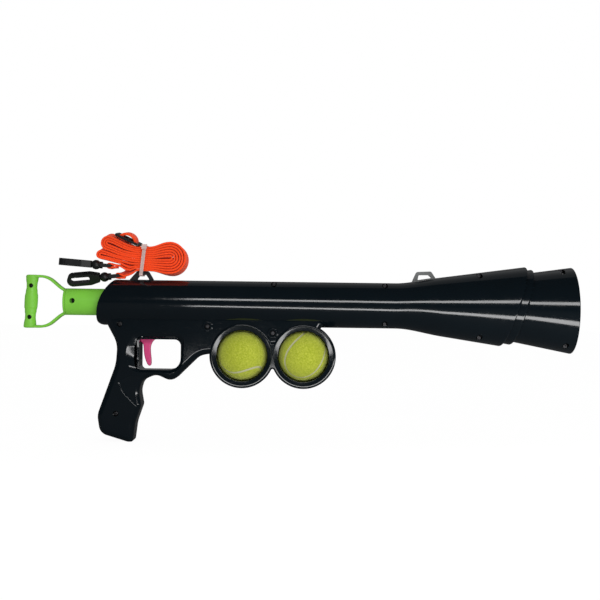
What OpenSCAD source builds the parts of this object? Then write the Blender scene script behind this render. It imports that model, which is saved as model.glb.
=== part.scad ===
// Spring-driven launcher for tennis balls, thrown for a dog.
// Two moulded half shells hold a pull tube, a spring-loaded striker and a trigger.
// Millimetres. +X runs along the barrel to the muzzle, +Z is up, the near side faces -Y.
// The origin is the middle of the pistol grip, where the hand holds it.

/* [Barrel] */
// Outer diameter of the straight barrel
barrel_d = 58; // [54:0.5:62]
// Wall thickness of the moulded shells
wall = 2.6; // [2:0.1:3]
// Length from the rear end to the muzzle rim
body_len = 606; // [590:1:640]
// Length of the flare and the muzzle together
flare_len = 225; // [215:1:235]
// Length over which the barrel bends into the flare
blend_len = 58; // [45:1:70]
// Slope of the flare's side in degrees
flare_angle = 8.4; // [8:0.1:9]

/* [Muzzle] */
// Outer diameter of the muzzle rim
muzzle_d = 110.2; // [106:0.2:113]
// Slope of the muzzle's side in degrees
muzzle_angle = 9.4; // [9:0.1:10]
// Distance along the axis from the first slanted step to the rim
step_back = 73; // [66:1:80]
// Tilt of the slanted steps in degrees
step_tilt = 18.3; // [10:0.1:22]
// Height of each of the two steps
step_h = 4.2; // [3:0.1:4.5]
// Width of the band between the two steps
band_w = 13.3; // [9:0.1:16]
// Depth of the open mouth in front of the funnel
mouth_depth = 22; // [18:1:26]

/* [Rear end] */
// Radius of the curve that the rear end follows, seen from the side
rear_r = 70.8; // [64:0.2:80]
// How far that curve's centre lies below the barrel's axis
rear_drop = 20; // [14:0.5:24]
// Rounding under the rear end
rear_round = 7; // [4:0.5:9]

/* [Grip and guard] */
// Thickness of the lower body, across both shells
panel_t = 39.6; // [36:0.2:42]
// Rounding of the lower body's edges
edge_r = 7.5; // [5:0.5:8.5]
// Depth of the grip's foot below the barrel's axis
grip_depth = 178; // [170:1:190]
// Width of the grip's foot from back to front
grip_w = 47.6; // [44:0.2:52]
// Depth of the window's upper edge below the barrel's axis
window_top = 46.2; // [45:0.2:48]
// Distance from the rear end to the window's rear edge
window_x = 57.5; // [55:0.5:60]
// Length of the trigger window
window_l = 52.4; // [49:0.2:54]
// Height of the trigger window
window_h = 38.6; // [36:0.2:42]
// Height of the guard's bar under the window
guard_t = 12; // [10:0.2:14]

/* [Ball rings] */
// Diameter of the balls
ball_d = 63.5; // [62:0.1:65]
// Room round a ball in its ring, on each side
ball_fit = 0.5; // [0.4:0.05:0.8]
// Width of a ring, from its bore to its outer edge
ring_w = 8.75; // [8:0.05:9.5]
// Distance from the rear end to the rear ball's middle
ring_x = 187.4; // [184:0.2:190]
// Distance between the two balls' middles
ring_pitch = 77.8; // [76:0.2:80]
// Depth of the balls' middles below the barrel's axis
ring_drop = 65.4; // [64:0.2:68]
// Thickness of a ring, collar to collar
ring_t = 42; // [40:0.2:44]

/* [Pull tube and handle] */
// Outer diameter of the pull tube
tube_d = 34; // [32:0.5:36]
// Wall thickness of the pull tube
tube_wall = 3; // [2.5:0.1:3.5]
// Length of tube that stands out of the rear end at rest
tube_out = 37.8; // [34:0.2:44]
// Travel of the handle when the spring is drawn
stroke = 110; // [100:1:116]
// Height of the handle's bar
handle_h = 67.8; // [62:0.2:76]
// Diameter of the handle's bar over its swells
handle_bar_d = 15.6; // [14:0.2:18]
// Distance from the tube's rear end to the bar's middle
handle_reach = 46.6; // [42:0.2:52]
// Width of the handle's arms across the launcher
arm_w = 13; // [11:0.5:15]
// Thickness of the handle's arms
arm_t = 3.2; // [2.8:0.1:4]

/* [Mechanism] */
// Diameter of the push rod
rod_d = 10; // [8:0.5:11]
// Diameter of the striker's flange
striker_d = 38.4; // [34:0.2:39]
// Diameter of the striker's nose and pad
nose_d = 29; // [24:0.5:31]
// Diameter of the drive spring's wire
spring_wire = 2.4; // [2:0.1:3]
// Number of turns of the drive spring
spring_turns = 18; // [14:1:22]
// Distance from where the flare starts to the seat behind the ball
seat_lead = 65; // [61:1:73]
// Swing of the trigger in degrees
trigger_swing = 10; // [6:0.5:11]
// Depth of the trigger's pivot below the barrel's axis
trigger_drop = 36; // [35.5:0.1:36.5]

/* [Strap] */
// Width of the webbing
web_w = 20; // [18:0.5:22]
// Thickness of the webbing
web_t = 1.9; // [1.5:0.1:2.1]
// Step between runs where the tie draws them in
web_pitch = 2.6; // [2.6:0.05:2.8]
// Width of the zip tie
tie_w = 4.5; // [3.5:0.1:5]

/* [Hooks] */
// Height of a hook, across its opening
hook_h = 16; // [14:0.5:18]
// Thickness of a hook
hook_t = 9; // [8:0.5:10]
// Length of a hook from its neck to its tip
hook_l = 42; // [38:0.5:44]

/* [Hidden] */

// Colours
black_plastic = [0.06, 0.08, 0.10];
green_plastic = [0.42, 0.74, 0.17];
pink_plastic = [0.88, 0.20, 0.54];
orange_web = [0.96, 0.27, 0.10];
ball_yellow = [0.80, 0.86, 0.20];
steel_grey = [0.62, 0.63, 0.65];
clear_white = [0.88, 0.86, 0.86];

// Clearances
free_gap = 0.4;
slide_fit = 0.08;
seat_gap = 0.1;
eps = 0.5;

// Barrel, flare and muzzle
barrel_r = barrel_d / 2;
bore_r = barrel_r - wall;
flare_x = body_len - flare_len;
blend_x = flare_x + blend_len;
step_x = body_len - step_back;
muzzle_r = muzzle_d / 2;
mouth_x = body_len - mouth_depth;
big = 400;
blend_steps = 8;

function muzzle_at(x) = muzzle_r - (body_len - x) * tan(muzzle_angle);
function flare_line(x) = muzzle_at(step_x) + 2 * step_h + (x - step_x) * tan(flare_angle);

// Smooth stretch between barrel and flare, a cubic curve with level and sloping ends
blend_rise = flare_line(blend_x) - barrel_r;
blend_knee = blend_x - 0.41 * blend_len;
function bezier(a, b, c, d, t) =
    a * pow(1 - t, 3) + 3 * b * t * pow(1 - t, 2) + 3 * c * t * t * (1 - t) + d * pow(t, 3);
blend_points = [for (k = [0 : blend_steps]) bezier(
    [barrel_r, flare_x],
    [barrel_r, flare_x + 0.33 * blend_len],
    [flare_line(blend_knee), blend_knee],
    [flare_line(blend_x), blend_x],
    k / blend_steps)];

// Outer radius of the body at a distance from the rear end, along the flare's upper side
function body_at(x) =
    x < flare_x ? barrel_r
    : x < blend_x ? lookup(x, [for (p = blend_points) [p.y, p.x]])
    : x < step_x ? flare_line(x)
    : muzzle_at(x);

// Lower body
panel_half = panel_t / 2;
window_z = -window_top;
window_low = window_z - window_h;
guard_low = window_low - guard_t;
foot_z = -grip_depth;
foot_x = 3;
ring_z = -ring_drop;
ring_bore = ball_d / 2 + ball_fit;
ring_r = ring_bore + ring_w;
ring_half = ring_t / 2;
ring_places = [ring_x, ring_x + ring_pitch];
stop_lip = 1.9;
ring_flare = 11;
mouth_flare = 3.4;
panel_top = -12;
panel_end = ring_x + ring_pitch + 32;
arc_steps = 5;
edge_steps = 4;

// Side outline of the lower body: [x, z, radius], anticlockwise from the tang
panel_outline = [
    [13.5, panel_top, 1],
    [13.5, -23, 2],
    [28.2, -52, 34],
    [26.6, -78, 60],
    [foot_x, foot_z + 35, 24],
    [foot_x + 4, foot_z + 12, 14],
    [foot_x + grip_w, foot_z - 0.5, 8],
    [foot_x + grip_w + 2.8, foot_z + 26, 50],
    [foot_x + grip_w + 10.4, foot_z + 48.5, 8],
    [window_x + 0.3, guard_low - 15.2, 22],
    [window_x + 4, guard_low - 1.7, 12],
    [window_x + 21.5, guard_low + 6.3, 14],
    [window_x + window_l - 10.4, guard_low - 3, 13],
    [ring_x - 53.4, ring_z - 0.1, 26],
    [panel_end - 13, ring_z + 18, 4],
    [panel_end, -21, 4],
    [panel_end, panel_top, 1]
];

// Trigger window: [x, z, radius]
window_outline = [
    [window_x, window_z, 3],
    [window_x, window_low, 5],
    [window_x + window_l, window_low, 15],
    [window_x + window_l, window_z, 8]
];

// Mechanism stations along the barrel
tube_r = tube_d / 2;
tube_bore = tube_r - tube_wall;
rod_r = rod_d / 2;
catch_x = window_x + 44.5;
catch_l = 8;
slot_l = catch_l + 3;
tube_end = catch_x + stroke + slot_l / 2 + 8;
guide_x = tube_end + 12;
guide_t = 8;
boss_r = rod_r + 3.3;
boss_l = 7;
seat_x = flare_x + seat_lead;
buffer_t = 3.5;
striker_x = seat_x - buffer_t - free_gap;
striker_r = striker_d / 2;
striker_t = 4;
nose_r = nose_d / 2;
nose_l = 7;
pad_t = 5;
coupler_l = 28;
coupler_x = tube_end - 2 - coupler_l;
// Sides of one turn of a spring, whose flats stay clear of what it winds round
spring_steps = 8;
spring_r = (boss_r + seat_gap) / cos(180 / spring_steps) + spring_wire / 2;

// Rear bush
bush_x = 19;
bush_l = 22.8;
bush_r = tube_r + 4.6;
bush_flange = 2.4;
flange_l = 1.9;
rib_t = 2.5;

// Ball chamber
chamber_r = ball_d / 2 + 0.85;
chamber_wall = 2.3;
chamber_out = chamber_r + chamber_wall;
seat_hole = nose_r + 1;
liner_gap = 0.15;
function liner_at(x) = muzzle_at(x) - wall - liner_gap;
// Where the straight chamber meets the funnel
funnel_x = body_len - (muzzle_r - wall - liner_gap - chamber_out) / tan(muzzle_angle);
collar_r = chamber_out + 2.8;
chamber_rib_x = seat_x + 20;
chamber_rib2_x = funnel_x - rib_t - 1.5;

// Trigger group
pivot_x = window_x + 23.5;
pivot_z = -trigger_drop;
pin_r = 1.5;
trigger_half = 3.5;
arm_z = pivot_z + 7;
arm_reach = catch_x - pivot_x;
lift_r = 2.1;
catch_half = 6;
catch_top = -tube_r - free_gap;
catch_drop = arm_reach * sin(trigger_swing);
floor_z = window_z + wall;
catch_low = floor_z + catch_drop + 2.9;

// Screws: heads are let into the near shell
head_r = 3.2;
head_t = 2.2;
shank_r = 1.5;
screw_boss = 4.2;
flat_screws = [
    [30.5, -26.6], [foot_x + 22.6, foot_z + 37.7],
    [ring_x - 44, -29], [ring_x + ring_pitch / 2 - 0.2, -36.4]
];
raised_pads = [flat_screws[2], flat_screws[3]];
curved_screws = [
    [226.7, barrel_r - 3.4],
    [flare_x - 13.4, barrel_r - 4.4], [flare_x - 13.4, 4.4 - barrel_r],
    [step_x - 44, 39.5], [step_x - 44, -39.5],
    [body_len - 9.5, muzzle_r - 6.4], [body_len - 9.5, 6.4 - muzzle_r]
];
function seat_curved(p) =
    sqrt(pow(body_at(p.x), 2) - pow(abs(p.y) + head_r * 0.86, 2)) - 0.5;
seat_flat = panel_half - head_t - 0.6;
shank_l = 9;

// Sling loops: [x, z, radius] of the outline, and of the hole
loop_half = 2.5;
rear_loop_x = 42.4;
rear_loop_top = 40;
loop_rise = barrel_r + 0.3;
rear_loop_outline = [
    [rear_loop_x, barrel_r - 5, 0.3], [rear_loop_x + 30.6, barrel_r - 5, 0.3],
    [rear_loop_x + 30.6, barrel_r - 0.2, 1.5],
    [rear_loop_x + 24, rear_loop_top, 3], [rear_loop_x + 9, rear_loop_top, 3],
    [rear_loop_x, barrel_r + 0.6, 1.5]
];
rear_loop_hole = [
    [rear_loop_x + 9.2, loop_rise, 0.6], [rear_loop_x + 24.9, loop_rise, 0.6],
    [rear_loop_x + 20.9, rear_loop_top - 4.6, 1.2],
    [rear_loop_x + 13.3, rear_loop_top - 4.6, 1.2]
];
front_loop_x = flare_x + 22;
front_base = body_at(front_loop_x) - 4;
front_top = body_at(front_loop_x) + 13;
front_loop_outline = [
    [front_loop_x, front_base, 0.3], [front_loop_x + 30, front_base, 0.3],
    [front_loop_x + 30, front_base + 8.6, 1],
    [front_loop_x + 24, front_top + 0.6, 3],
    [front_loop_x + 5.5, front_top - 0.2, 3.5],
    [front_loop_x, front_base + 4.4, 1]
];
front_loop_hole = [
    [front_loop_x + 6.8, front_base + 6.4, 0.6], [front_loop_x + 24.6, front_base + 9.2, 0.6],
    [front_loop_x + 20.4, front_top - 4.2, 1.5], [front_loop_x + 8, front_top - 4.4, 1.5]
];

// Strap hank: runs are numbered from the top of the waist
runs = 12;
waist_x = [rear_loop_x + 14.1, rear_loop_x + 24.1];
waist_low = rear_loop_top + 0.6 + web_t / 2;
function run_z(k) = waist_low + (runs - k) * web_pitch;
run_order = [12, 1, 6, 7, 10, 3, 4, 9, 8, 5, 2, 11];
lobe_step = web_pitch + 0.3;
// Lobes: centre, direction, radius of the innermost turn
right_lobe = [[rear_loop_x + 52.5, waist_low + 14.7], 0, 4.8];
upper_lobe = [[rear_loop_x - 26.1, waist_low + 35.7], 163, 2.3];
middle_lobe = [[rear_loop_x - 35.1, waist_low + 20.6], 167, 2.3];
arc_points = 6;
web_chamfer = 0.6;
lower_lift = 14;
upper_lift = -2;

// Slider on top of the hank
slider_at = [rear_loop_x - 2.4, run_z(1) + 10.3];
slider_tilt = -25;
slider_l = 34;
slider_t = 3.2;
slider_rail = 3;
slider_bar = 3.6;

// Zip tie
tie_t = 1.3;
tie_x = rear_loop_x + 17.25;
tie_low = rear_loop_top - 4.6 - free_gap;
tie_high = run_z(1) + web_t / 2 + free_gap;

// Hooks: neck position, slope of the axis and roll about it
upper_neck = [-7, 48.3];
upper_slope = 4.4;
upper_roll = 90;
lower_neck = [4, 31.6];
lower_slope = -5.5;
lower_roll = 30;
neck_r = 2.6;
neck_l = 9;
knob_r = 6.2;
eye_t = 4.4;
eye_l = 13;
eye_bar_r = 1.4;
eye_bar = neck_l + 4.4 + eye_l - 2;
wrap_r = eye_bar_r + web_t / 2 + 0.4;
// Middle of the bar that the webbing is turned round
function bar_at(neck, slope) = neck + turned([eye_bar, 0], -slope);

// The grip's middle, where the launcher is held
grip_at = [foot_x + 34, foot_z + 62];

// Outline helpers
function turn_of(a, b) = atan2(a.x * b.y - a.y * b.x, a * b);
function unit(v) = v / norm(v);
function left_of(v) = [-v.y, v.x];
function turned(v, a) = [v.x * cos(a) - v.y * sin(a), v.x * sin(a) + v.y * cos(a)];

// Corner p between its neighbours, rounded by an arc of n steps
function corner_arc(before, p, after, r, n) =
    let (a = unit(p - before), b = unit(after - p), turn = turn_of(a, b))
    let (start = p - a * r * tan(abs(turn) / 2))
    let (centre = start + left_of(a) * r * sign(turn))
    [for (k = [0 : n]) centre + turned(start - centre, turn * k / n)];

// Closed outline of [x, z, radius] moved inwards by d, with its corners rounded
function inset_outline(points, d, n) =
    let (count = len(points))
    let (xy = [for (p = points) [p.x, p.y]])
    let (dirs = [for (i = [0 : count - 1]) unit(xy[(i + 1) % count] - xy[i])])
    let (turns = [for (i = [0 : count - 1]) turn_of(dirs[(i + count - 1) % count], dirs[i])])
    let (moved = [for (i = [0 : count - 1])
        let (a = left_of(dirs[(i + count - 1) % count]), b = left_of(dirs[i]))
        xy[i] + (a + b) * d / (1 + a * b)])
    [for (i = [0 : count - 1])
        let (r = max(points[i][2] - sign(turns[i]) * d, 0.3))
        each corner_arc(moved[(i + count - 1) % count], moved[i], moved[(i + 1) % count], r, n)];

// Solid between rings that hold the same number of points, closed by its two ends
module loft(rings) {
    sides = len(rings[0]);
    last = len(rings) - 1;
    points = [for (ring = rings) each ring];
    walls = [for (k = [0 : last - 1], i = [0 : sides - 1])
        let (a = k * sides + i, b = k * sides + (i + 1) % sides)
        each [[a, a + sides, b], [b, a + sides, b + sides]]];
    start = [[for (i = [0 : sides - 1]) i]];
    finish = [[for (i = [sides - 1 : -1 : 0]) last * sides + i]];
    polyhedron(points, concat(walls, start, finish), convexity = 12);
}

// Solid turned about the barrel's axis from [radius, x] points
module turned_on_axis(points) {
    rotate([0, 90, 0]) rotate_extrude($fn = 96) polygon(points);
}

// Plain cylinder along X
module rod_x(r, x0, x1, fn = 64) {
    translate([x0, 0, 0]) rotate([0, 90, 0]) cylinder(r = r, h = x1 - x0, $fn = fn);
}

// Plain cylinder along Y through [x, z]
module rod_y(p, r, y0, y1, fn = 48) {
    translate([p.x, y1, p.y]) rotate([90, 0, 0]) cylinder(r = r, h = y1 - y0, $fn = fn);
}

// Side outline given a thickness across the launcher
module plate_y(points, y0, y1) {
    translate([0, y1, 0]) rotate([90, 0, 0]) linear_extrude(y1 - y0) polygon(points);
}

// The half of a shape that lies on the near side
module near_half() {
    intersection() {
        children();
        translate([-big / 2, -big, -big]) cube([3 * big, big, 2 * big]);
    }
}

// What is drawn for the near side, put on the chosen side
module on_side(side) {
    mirror([0, side > 0 ? 1 : 0, 0]) children();
}

// Everything behind a slanted plane that crosses the axis at x
module behind_plane(x) {
    translate([x, 0, 0]) rotate([0, step_tilt, 0])
        translate([-2 * big, -big / 2, -big / 2]) cube([2 * big, big, big]);
}

// The rear end's side outline, moved inwards
module rear_trim(inset) {
    centre = [rear_r - 0.6, -rear_drop];
    // A little under the barrel, so that the rounding crosses its side and doesn't just touch it
    low = -barrel_r + inset - 0.05;
    corner = rear_r - inset;
    round_x = centre.x - sqrt(pow(corner - rear_round, 2) - pow(low + rear_round - centre.y, 2));
    difference() {
        union() {
            rod_y(centre, corner, -big / 4, big / 4, 180);
            translate([centre.x, -big / 4, -big / 2]) cube([2 * big, big / 2, big]);
        }
        difference() {
            translate([round_x - 4 * rear_round, -big / 4, low - 4 * rear_round])
                cube([4 * rear_round, big / 2, 5 * rear_round]);
            rod_y([round_x, low + rear_round], rear_round, -big / 3, big / 3, 96);
        }
    }
}

// Barrel, flare, band and muzzle as one form, moved inwards
module barrel_form(inset) {
    reach = step_x + 60;
    intersection() {
        turned_on_axis(concat(
            [[0, -eps]], [[barrel_r - inset, -eps]],
            [for (p = blend_points) [p.x - inset, p.y]],
            [[flare_line(reach) - inset, reach], [0, reach]]));
        behind_plane(step_x - inset);
    }
    intersection() {
        turned_on_axis([
            [0, blend_x], [flare_line(blend_x) - step_h - inset, blend_x],
            [flare_line(reach) - step_h - inset, reach], [0, reach]]);
        behind_plane(step_x + band_w - inset);
    }
}

// Muzzle cone, from inside the flare to the rim
module muzzle_form(inset, front) {
    back = step_x - 45;
    turned_on_axis([
        [0, back], [muzzle_at(back) - inset, back], [muzzle_at(front) - inset, front], [0, front]]);
}

// Rounded lower body on the near side, from past the parting plane outwards
module panel_form(inset, round_r, past) {
    deep = panel_half - inset;
    function ring_at(d, y) = [for (p = inset_outline(panel_outline, inset + d, arc_steps)) [p.x, y, p.y]];
    // The empty resize() has the concave end faces cut into sound triangles
    resize([0, 0, 0]) loft(concat(
        [ring_at(0, past)],
        [for (k = [0 : edge_steps])
            let (a = 90 * k / edge_steps)
            ring_at(round_r * (1 - cos(a)), -(deep - round_r) - round_r * sin(a))]));
}

// Solid turned about a ball's own axis from [radius, distance to the near side] points
module ring_turn(x, points) {
    translate([x, 0, ring_z]) rotate([90, 0, 0]) rotate_extrude($fn = 128) polygon(points);
}

// One ball ring, near half, with its bore still closed
module ring_form(x) {
    soft = 3;
    ring_turn(x, [
        [0, -2 * eps], [ring_r, -2 * eps], [ring_r, ring_half - soft],
        for (a = [15 : 15 : 75]) [ring_r - soft * (1 - cos(a)), ring_half - soft * (1 - sin(a))],
        [ring_r - soft, ring_half], [0, ring_half]]);
}

// What is cut out of a ring: the bore with its flared mouth, and a lip on the far side
module ring_bore_cut(x, lip) {
    lip_y = 10.6;
    ring_turn(x, lip ? [
        [0, -3], [ring_bore, -3], [ring_bore, lip_y], [ring_bore - stop_lip, lip_y + 0.3],
        [ring_bore - stop_lip, lip_y + 2.4], [ring_bore + mouth_flare, ring_half + eps],
        [0, ring_half + eps]
    ] : [
        [0, -3], [ring_bore, -3], [ring_bore, ring_half - ring_flare],
        [ring_bore + mouth_flare, ring_half + eps], [0, ring_half + eps]
    ]);
}

// Ring-shaped rib round the barrel's axis that carries an inner piece
module rib(x, inner, outer) {
    difference() {
        rod_x(outer, x, x + rib_t);
        rod_x(inner, x - 1, x + rib_t + 1);
    }
}

// The hollow inside the near shell
module shell_hollow() {
    floor_r = edge_r - wall;
    difference() {
        union() {
            intersection() {
                barrel_form(wall);
                rear_trim(wall);
            }
            muzzle_form(wall, body_len + eps);
            panel_form(wall, floor_r, 3 * eps);
            for (x = ring_places) ring_turn(x, [
                [0, -4 * eps], [ring_r - wall, -4 * eps], [ring_r - wall, ring_half - wall - 1.5],
                [0, ring_half - wall - 1.5]]);
        }
        // Walls round the window and the rings
        plate_y(inset_outline(window_outline, -wall, arc_steps), -panel_t, panel_t);
        for (x = ring_places) ring_turn(x, [
            [0, -2], [ring_bore + wall, -2], [ring_bore + wall, ring_half - ring_flare],
            [ring_bore + mouth_flare + wall, ring_half], [0, ring_half]]);
        // Screw bosses
        for (p = concat(flat_screws, curved_screws))
            rod_y(p, screw_boss, -2 * barrel_d, eps + 1, 40);
        // Pivot bosses for the trigger
        rod_y([pivot_x, pivot_z], pin_r + 2.4, -panel_t, -trigger_half - free_gap, 40);
        // Guides of the catch block
        for (x = [catch_x - catch_l / 2 - free_gap - rib_t, catch_x + catch_l / 2 + free_gap])
            translate([x, -panel_t, floor_z - 1])
                cube([rib_t, panel_t - trigger_half - 1.2, arm_z - floor_z]);
        // Ribs for the bush, the rod guide and the ball chamber
        rib(bush_x + flange_l + seat_gap, bush_r + seat_gap, barrel_r - 1);
        rib(bush_x + bush_l - flange_l - seat_gap - rib_t, bush_r + seat_gap, barrel_r - 1);
        rib(guide_x - rib_t - seat_gap, striker_r + 1, barrel_r - 1);
        rib(guide_x + guide_t + seat_gap, striker_r + 1, barrel_r - 1);
        rib(chamber_rib_x, chamber_out + seat_gap, body_at(chamber_rib_x) - 1);
        rib(chamber_rib2_x, chamber_out + seat_gap, body_at(chamber_rib2_x) - 1);
    }
}

// The near shell before its screw holes: every form runs past the parting plane and is cut there last
module shell_body(lip) {
    near_half() difference() {
        union() {
            intersection() {
                barrel_form(0);
                rear_trim(0);
            }
            muzzle_form(0, body_len);
            panel_form(0, edge_r, eps);
            for (x = ring_places) ring_form(x);
            for (p = raised_pads) rod_y(p, 6.4, -panel_half - 0.9, -panel_half + 2);
        }
        shell_hollow();
        // The way in for the tube
        rod_x(tube_r + 0.5, -2, bush_x + 2);
        // Trigger window, and the slot that the trigger swings in
        plate_y(inset_outline(window_outline, 0, arc_steps), -panel_t, panel_t);
        translate([window_x - 4, -trigger_half - 0.6, window_z - 1])
            cube([pivot_x + 7.5 - window_x + 4, 2 * trigger_half + 1.2, wall + 2]);
        translate([window_x - 4, -trigger_half - 0.6, window_z - 26])
            cube([10, 2 * trigger_half + 1.2, 27]);
        // Ball rings
        for (x = ring_places) ring_bore_cut(x, lip);
        // Trigger pin
        rod_y([pivot_x, pivot_z], pin_r + 0.02, -panel_half + wall, 2);
        // Sling loops, clamped at the parting plane
        translate([rear_loop_x - seat_gap, -loop_half - seat_gap, 20])
            cube([30.8, 2 * loop_half, barrel_r]);
        translate([front_loop_x - seat_gap, -loop_half - seat_gap, 20])
            cube([30.2, 2 * loop_half, barrel_r]);
    }
}

module left_shell() {
    color(black_plastic) difference() {
        shell_body(false);
        for (p = flat_screws) {
            rod_y(p, head_r + 0.4, -panel_t, -seat_flat);
            rod_y(p, shank_r + 0.2, -panel_t, eps, 24);
        }
        for (p = curved_screws) {
            rod_y(p, head_r + 0.4, -2 * barrel_d, -seat_curved(p));
            rod_y(p, shank_r + 0.2, -2 * barrel_d, eps, 24);
        }
    }
}

module right_shell() {
    color(black_plastic) on_side(1) difference() {
        shell_body(true);
        for (p = concat(flat_screws, curved_screws))
            rod_y(p, shank_r + 0.05, -shank_l - 1, eps, 24);
    }
}

// Pan-head screw, its head's underside at y and its shank running to the far side
module screw(p, y, length) {
    rod_y(p, head_r, y - head_t, y, 40);
    rod_y(p, shank_r, y - head_t / 2, y + length, 24);
}

module body_screws() {
    color(steel_grey) {
        for (p = flat_screws) screw(p, -seat_flat, seat_flat + shank_l);
        for (p = curved_screws) screw(p, -seat_curved(p), seat_curved(p) + min(shank_l, seat_curved(p)));
    }
}

module pull_tube() {
    color(green_plastic) difference() {
        rod_x(tube_r, -tube_out, tube_end, 96);
        rod_x(tube_bore, -tube_out - 1, tube_end + 1, 96);
        // Slot that the catch block rises into
        translate([catch_x + stroke - slot_l / 2, -catch_half + 1, -tube_r - 1])
            cube([slot_l, 2 * catch_half - 2, tube_wall + 2.5]);
        // Holes for the cross pin and the handle's screw
        rod_y([coupler_x + 8, 0], 2.02, -tube_d, tube_d, 32);
        rod_y([-tube_out + 7.2, 0], shank_r + 0.2, -tube_d, 0, 32);
    }
}

// Open path with rounded corners: [x, z, radius]
function rounded_path(points, n) =
    let (last = len(points) - 1)
    let (xy = [for (p = points) [p.x, p.y]])
    concat([xy[0]],
        [for (i = [1 : last - 1]) each corner_arc(xy[i - 1], xy[i], xy[i + 1], points[i][2], n)],
        [xy[last]]);

// Unit tangent of a path at one of its points
function tangent(path, i) =
    unit(path[min(i + 1, len(path) - 1)] - path[max(i - 1, 0)]);

// Outline of a strip that follows a path
function strip(path, t) = concat(
    [for (i = [0 : len(path) - 1]) path[i] - left_of(tangent(path, i)) * t / 2],
    [for (i = [len(path) - 1 : -1 : 0]) path[i] + left_of(tangent(path, i)) * t / 2]);

// D-shaped handle, both halves together
bar_x = -tube_out - handle_reach;
bar_half = handle_h / 2;
bar_r = handle_bar_d / 2;
swells = 4;
swell_depth = 0.7;
cap_t = 3.8;
module handle_form() {
    // Bar with a swell for each finger
    translate([bar_x, 0, 0]) rotate_extrude($fn = 64) polygon(concat(
        [[0, -bar_half], [bar_r - 2.2, -bar_half]],
        [for (k = [0 : 8 * swells])
            let (s = k / (8 * swells))
            [bar_r - swell_depth * (1 - cos(360 * swells * s)) / 2,
                -bar_half + 1.6 + s * (handle_h - 3.2)]],
        [[bar_r - 2.2, bar_half], [0, bar_half]]));
    // Arms that run from the bar's ends to the tube, and stop at its end
    difference() {
        for (m = [0, 1]) mirror([0, 0, m])
            plate_y(strip(rounded_path([
                [bar_x, bar_half - arm_t / 2 - 0.4, 0],
                [bar_x + 22.5, bar_half - arm_t / 2 + 0.2, 14],
                [-tube_out - 7.5, tube_r + 2.6, 24],
                [-tube_out + 0.2, tube_r - 4.2, 0]], arc_steps + 1), arm_t), -arm_w / 2, arm_w / 2);
        rod_x(tube_r + 1, -tube_out - seat_gap, -tube_out + tube_d);
    }
    // Cap on the tube's end, and the spigot inside the tube
    rod_x(tube_r, -tube_out - cap_t - seat_gap, -tube_out - seat_gap);
    rod_x(tube_bore - seat_gap, -tube_out - 1, -tube_out + 22);
}

handle_screw_z = 20;
module handle_holes() {
    for (z = [-handle_screw_z, handle_screw_z]) {
        rod_y([bar_x, z], head_r + 0.3, -2 * bar_r, -bar_r + head_t + 0.9);
        rod_y([bar_x, z], shank_r + 0.1, -2 * bar_r, bar_r - 2.4, 24);
    }
    rod_y([-tube_out + 7.2, 0], shank_r + 0.05, -tube_d, 6, 24);
}

module handle_left_half() {
    color(green_plastic) difference() {
        near_half() handle_form();
        handle_holes();
    }
}

module handle_right_half() {
    color(green_plastic) difference() {
        on_side(1) near_half() handle_form();
        handle_holes();
    }
}

module handle_screws() {
    color(steel_grey) {
        for (z = [-handle_screw_z, handle_screw_z])
            screw([bar_x, z], -bar_r + head_t + 0.9, 2 * bar_r - head_t - 4.3);
        screw([-tube_out + 7.2, 0], -tube_r - 0.1, tube_r + 4);
    }
}

module rear_bush() {
    far = bush_x + bush_l;
    inner = tube_r + slide_fit;
    color(steel_grey) turned_on_axis([
        [inner, bush_x], [bush_r + bush_flange, bush_x],
        [bush_r + bush_flange, bush_x + flange_l], [bush_r, bush_x + flange_l],
        [bush_r, far - flange_l], [bush_r + bush_flange, far - flange_l],
        [bush_r + bush_flange, far], [inner, far]]);
}

module rod_guide() {
    inner = rod_r + slide_fit;
    color(steel_grey) turned_on_axis([
        [inner, guide_x], [bore_r - seat_gap, guide_x], [bore_r - seat_gap, guide_x + guide_t],
        [boss_r, guide_x + guide_t], [boss_r, guide_x + guide_t + boss_l],
        [inner, guide_x + guide_t + boss_l]]);
}

rod_socket = nose_l - 2;
module push_rod() {
    color(steel_grey) difference() {
        rod_x(rod_r, coupler_x + 4, striker_x + rod_socket, 48);
        rod_y([coupler_x + 8, 0], 2.02, -tube_d, tube_d, 32);
    }
}

module rod_coupler() {
    color(green_plastic) difference() {
        rod_x(tube_bore - seat_gap, coupler_x, coupler_x + coupler_l);
        rod_x(rod_r + 0.02, coupler_x + 3.9, coupler_x + coupler_l + 1, 48);
        rod_y([coupler_x + 8, 0], 2.02, -tube_d, tube_d, 32);
    }
}

module coupler_pin() {
    color(steel_grey) rod_y([coupler_x + 8, 0], 2, -tube_r + 0.6, tube_r - 0.6, 32);
}

module striker() {
    back = striker_x - striker_t;
    color(green_plastic) turned_on_axis([
        [rod_r + 0.02, back - boss_l], [boss_r, back - boss_l], [boss_r, back],
        [striker_r - 1, back], [striker_r, back + 1], [striker_r, striker_x],
        [nose_r, striker_x], [nose_r, striker_x + nose_l], [0, striker_x + nose_l],
        [0, striker_x + rod_socket + 0.1], [rod_r + 0.02, striker_x + rod_socket + 0.1]]);
}

module striker_pad() {
    back = striker_x + nose_l;
    soft = 2;
    color(black_plastic) turned_on_axis([
        [0, back], [nose_r, back], [nose_r, back + pad_t - soft],
        for (a = [22.5 : 22.5 : 67.5])
            [nose_r - soft * (1 - cos(a)), back + pad_t - soft * (1 - sin(a))],
        [nose_r - soft, back + pad_t], [0, back + pad_t]]);
}

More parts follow.
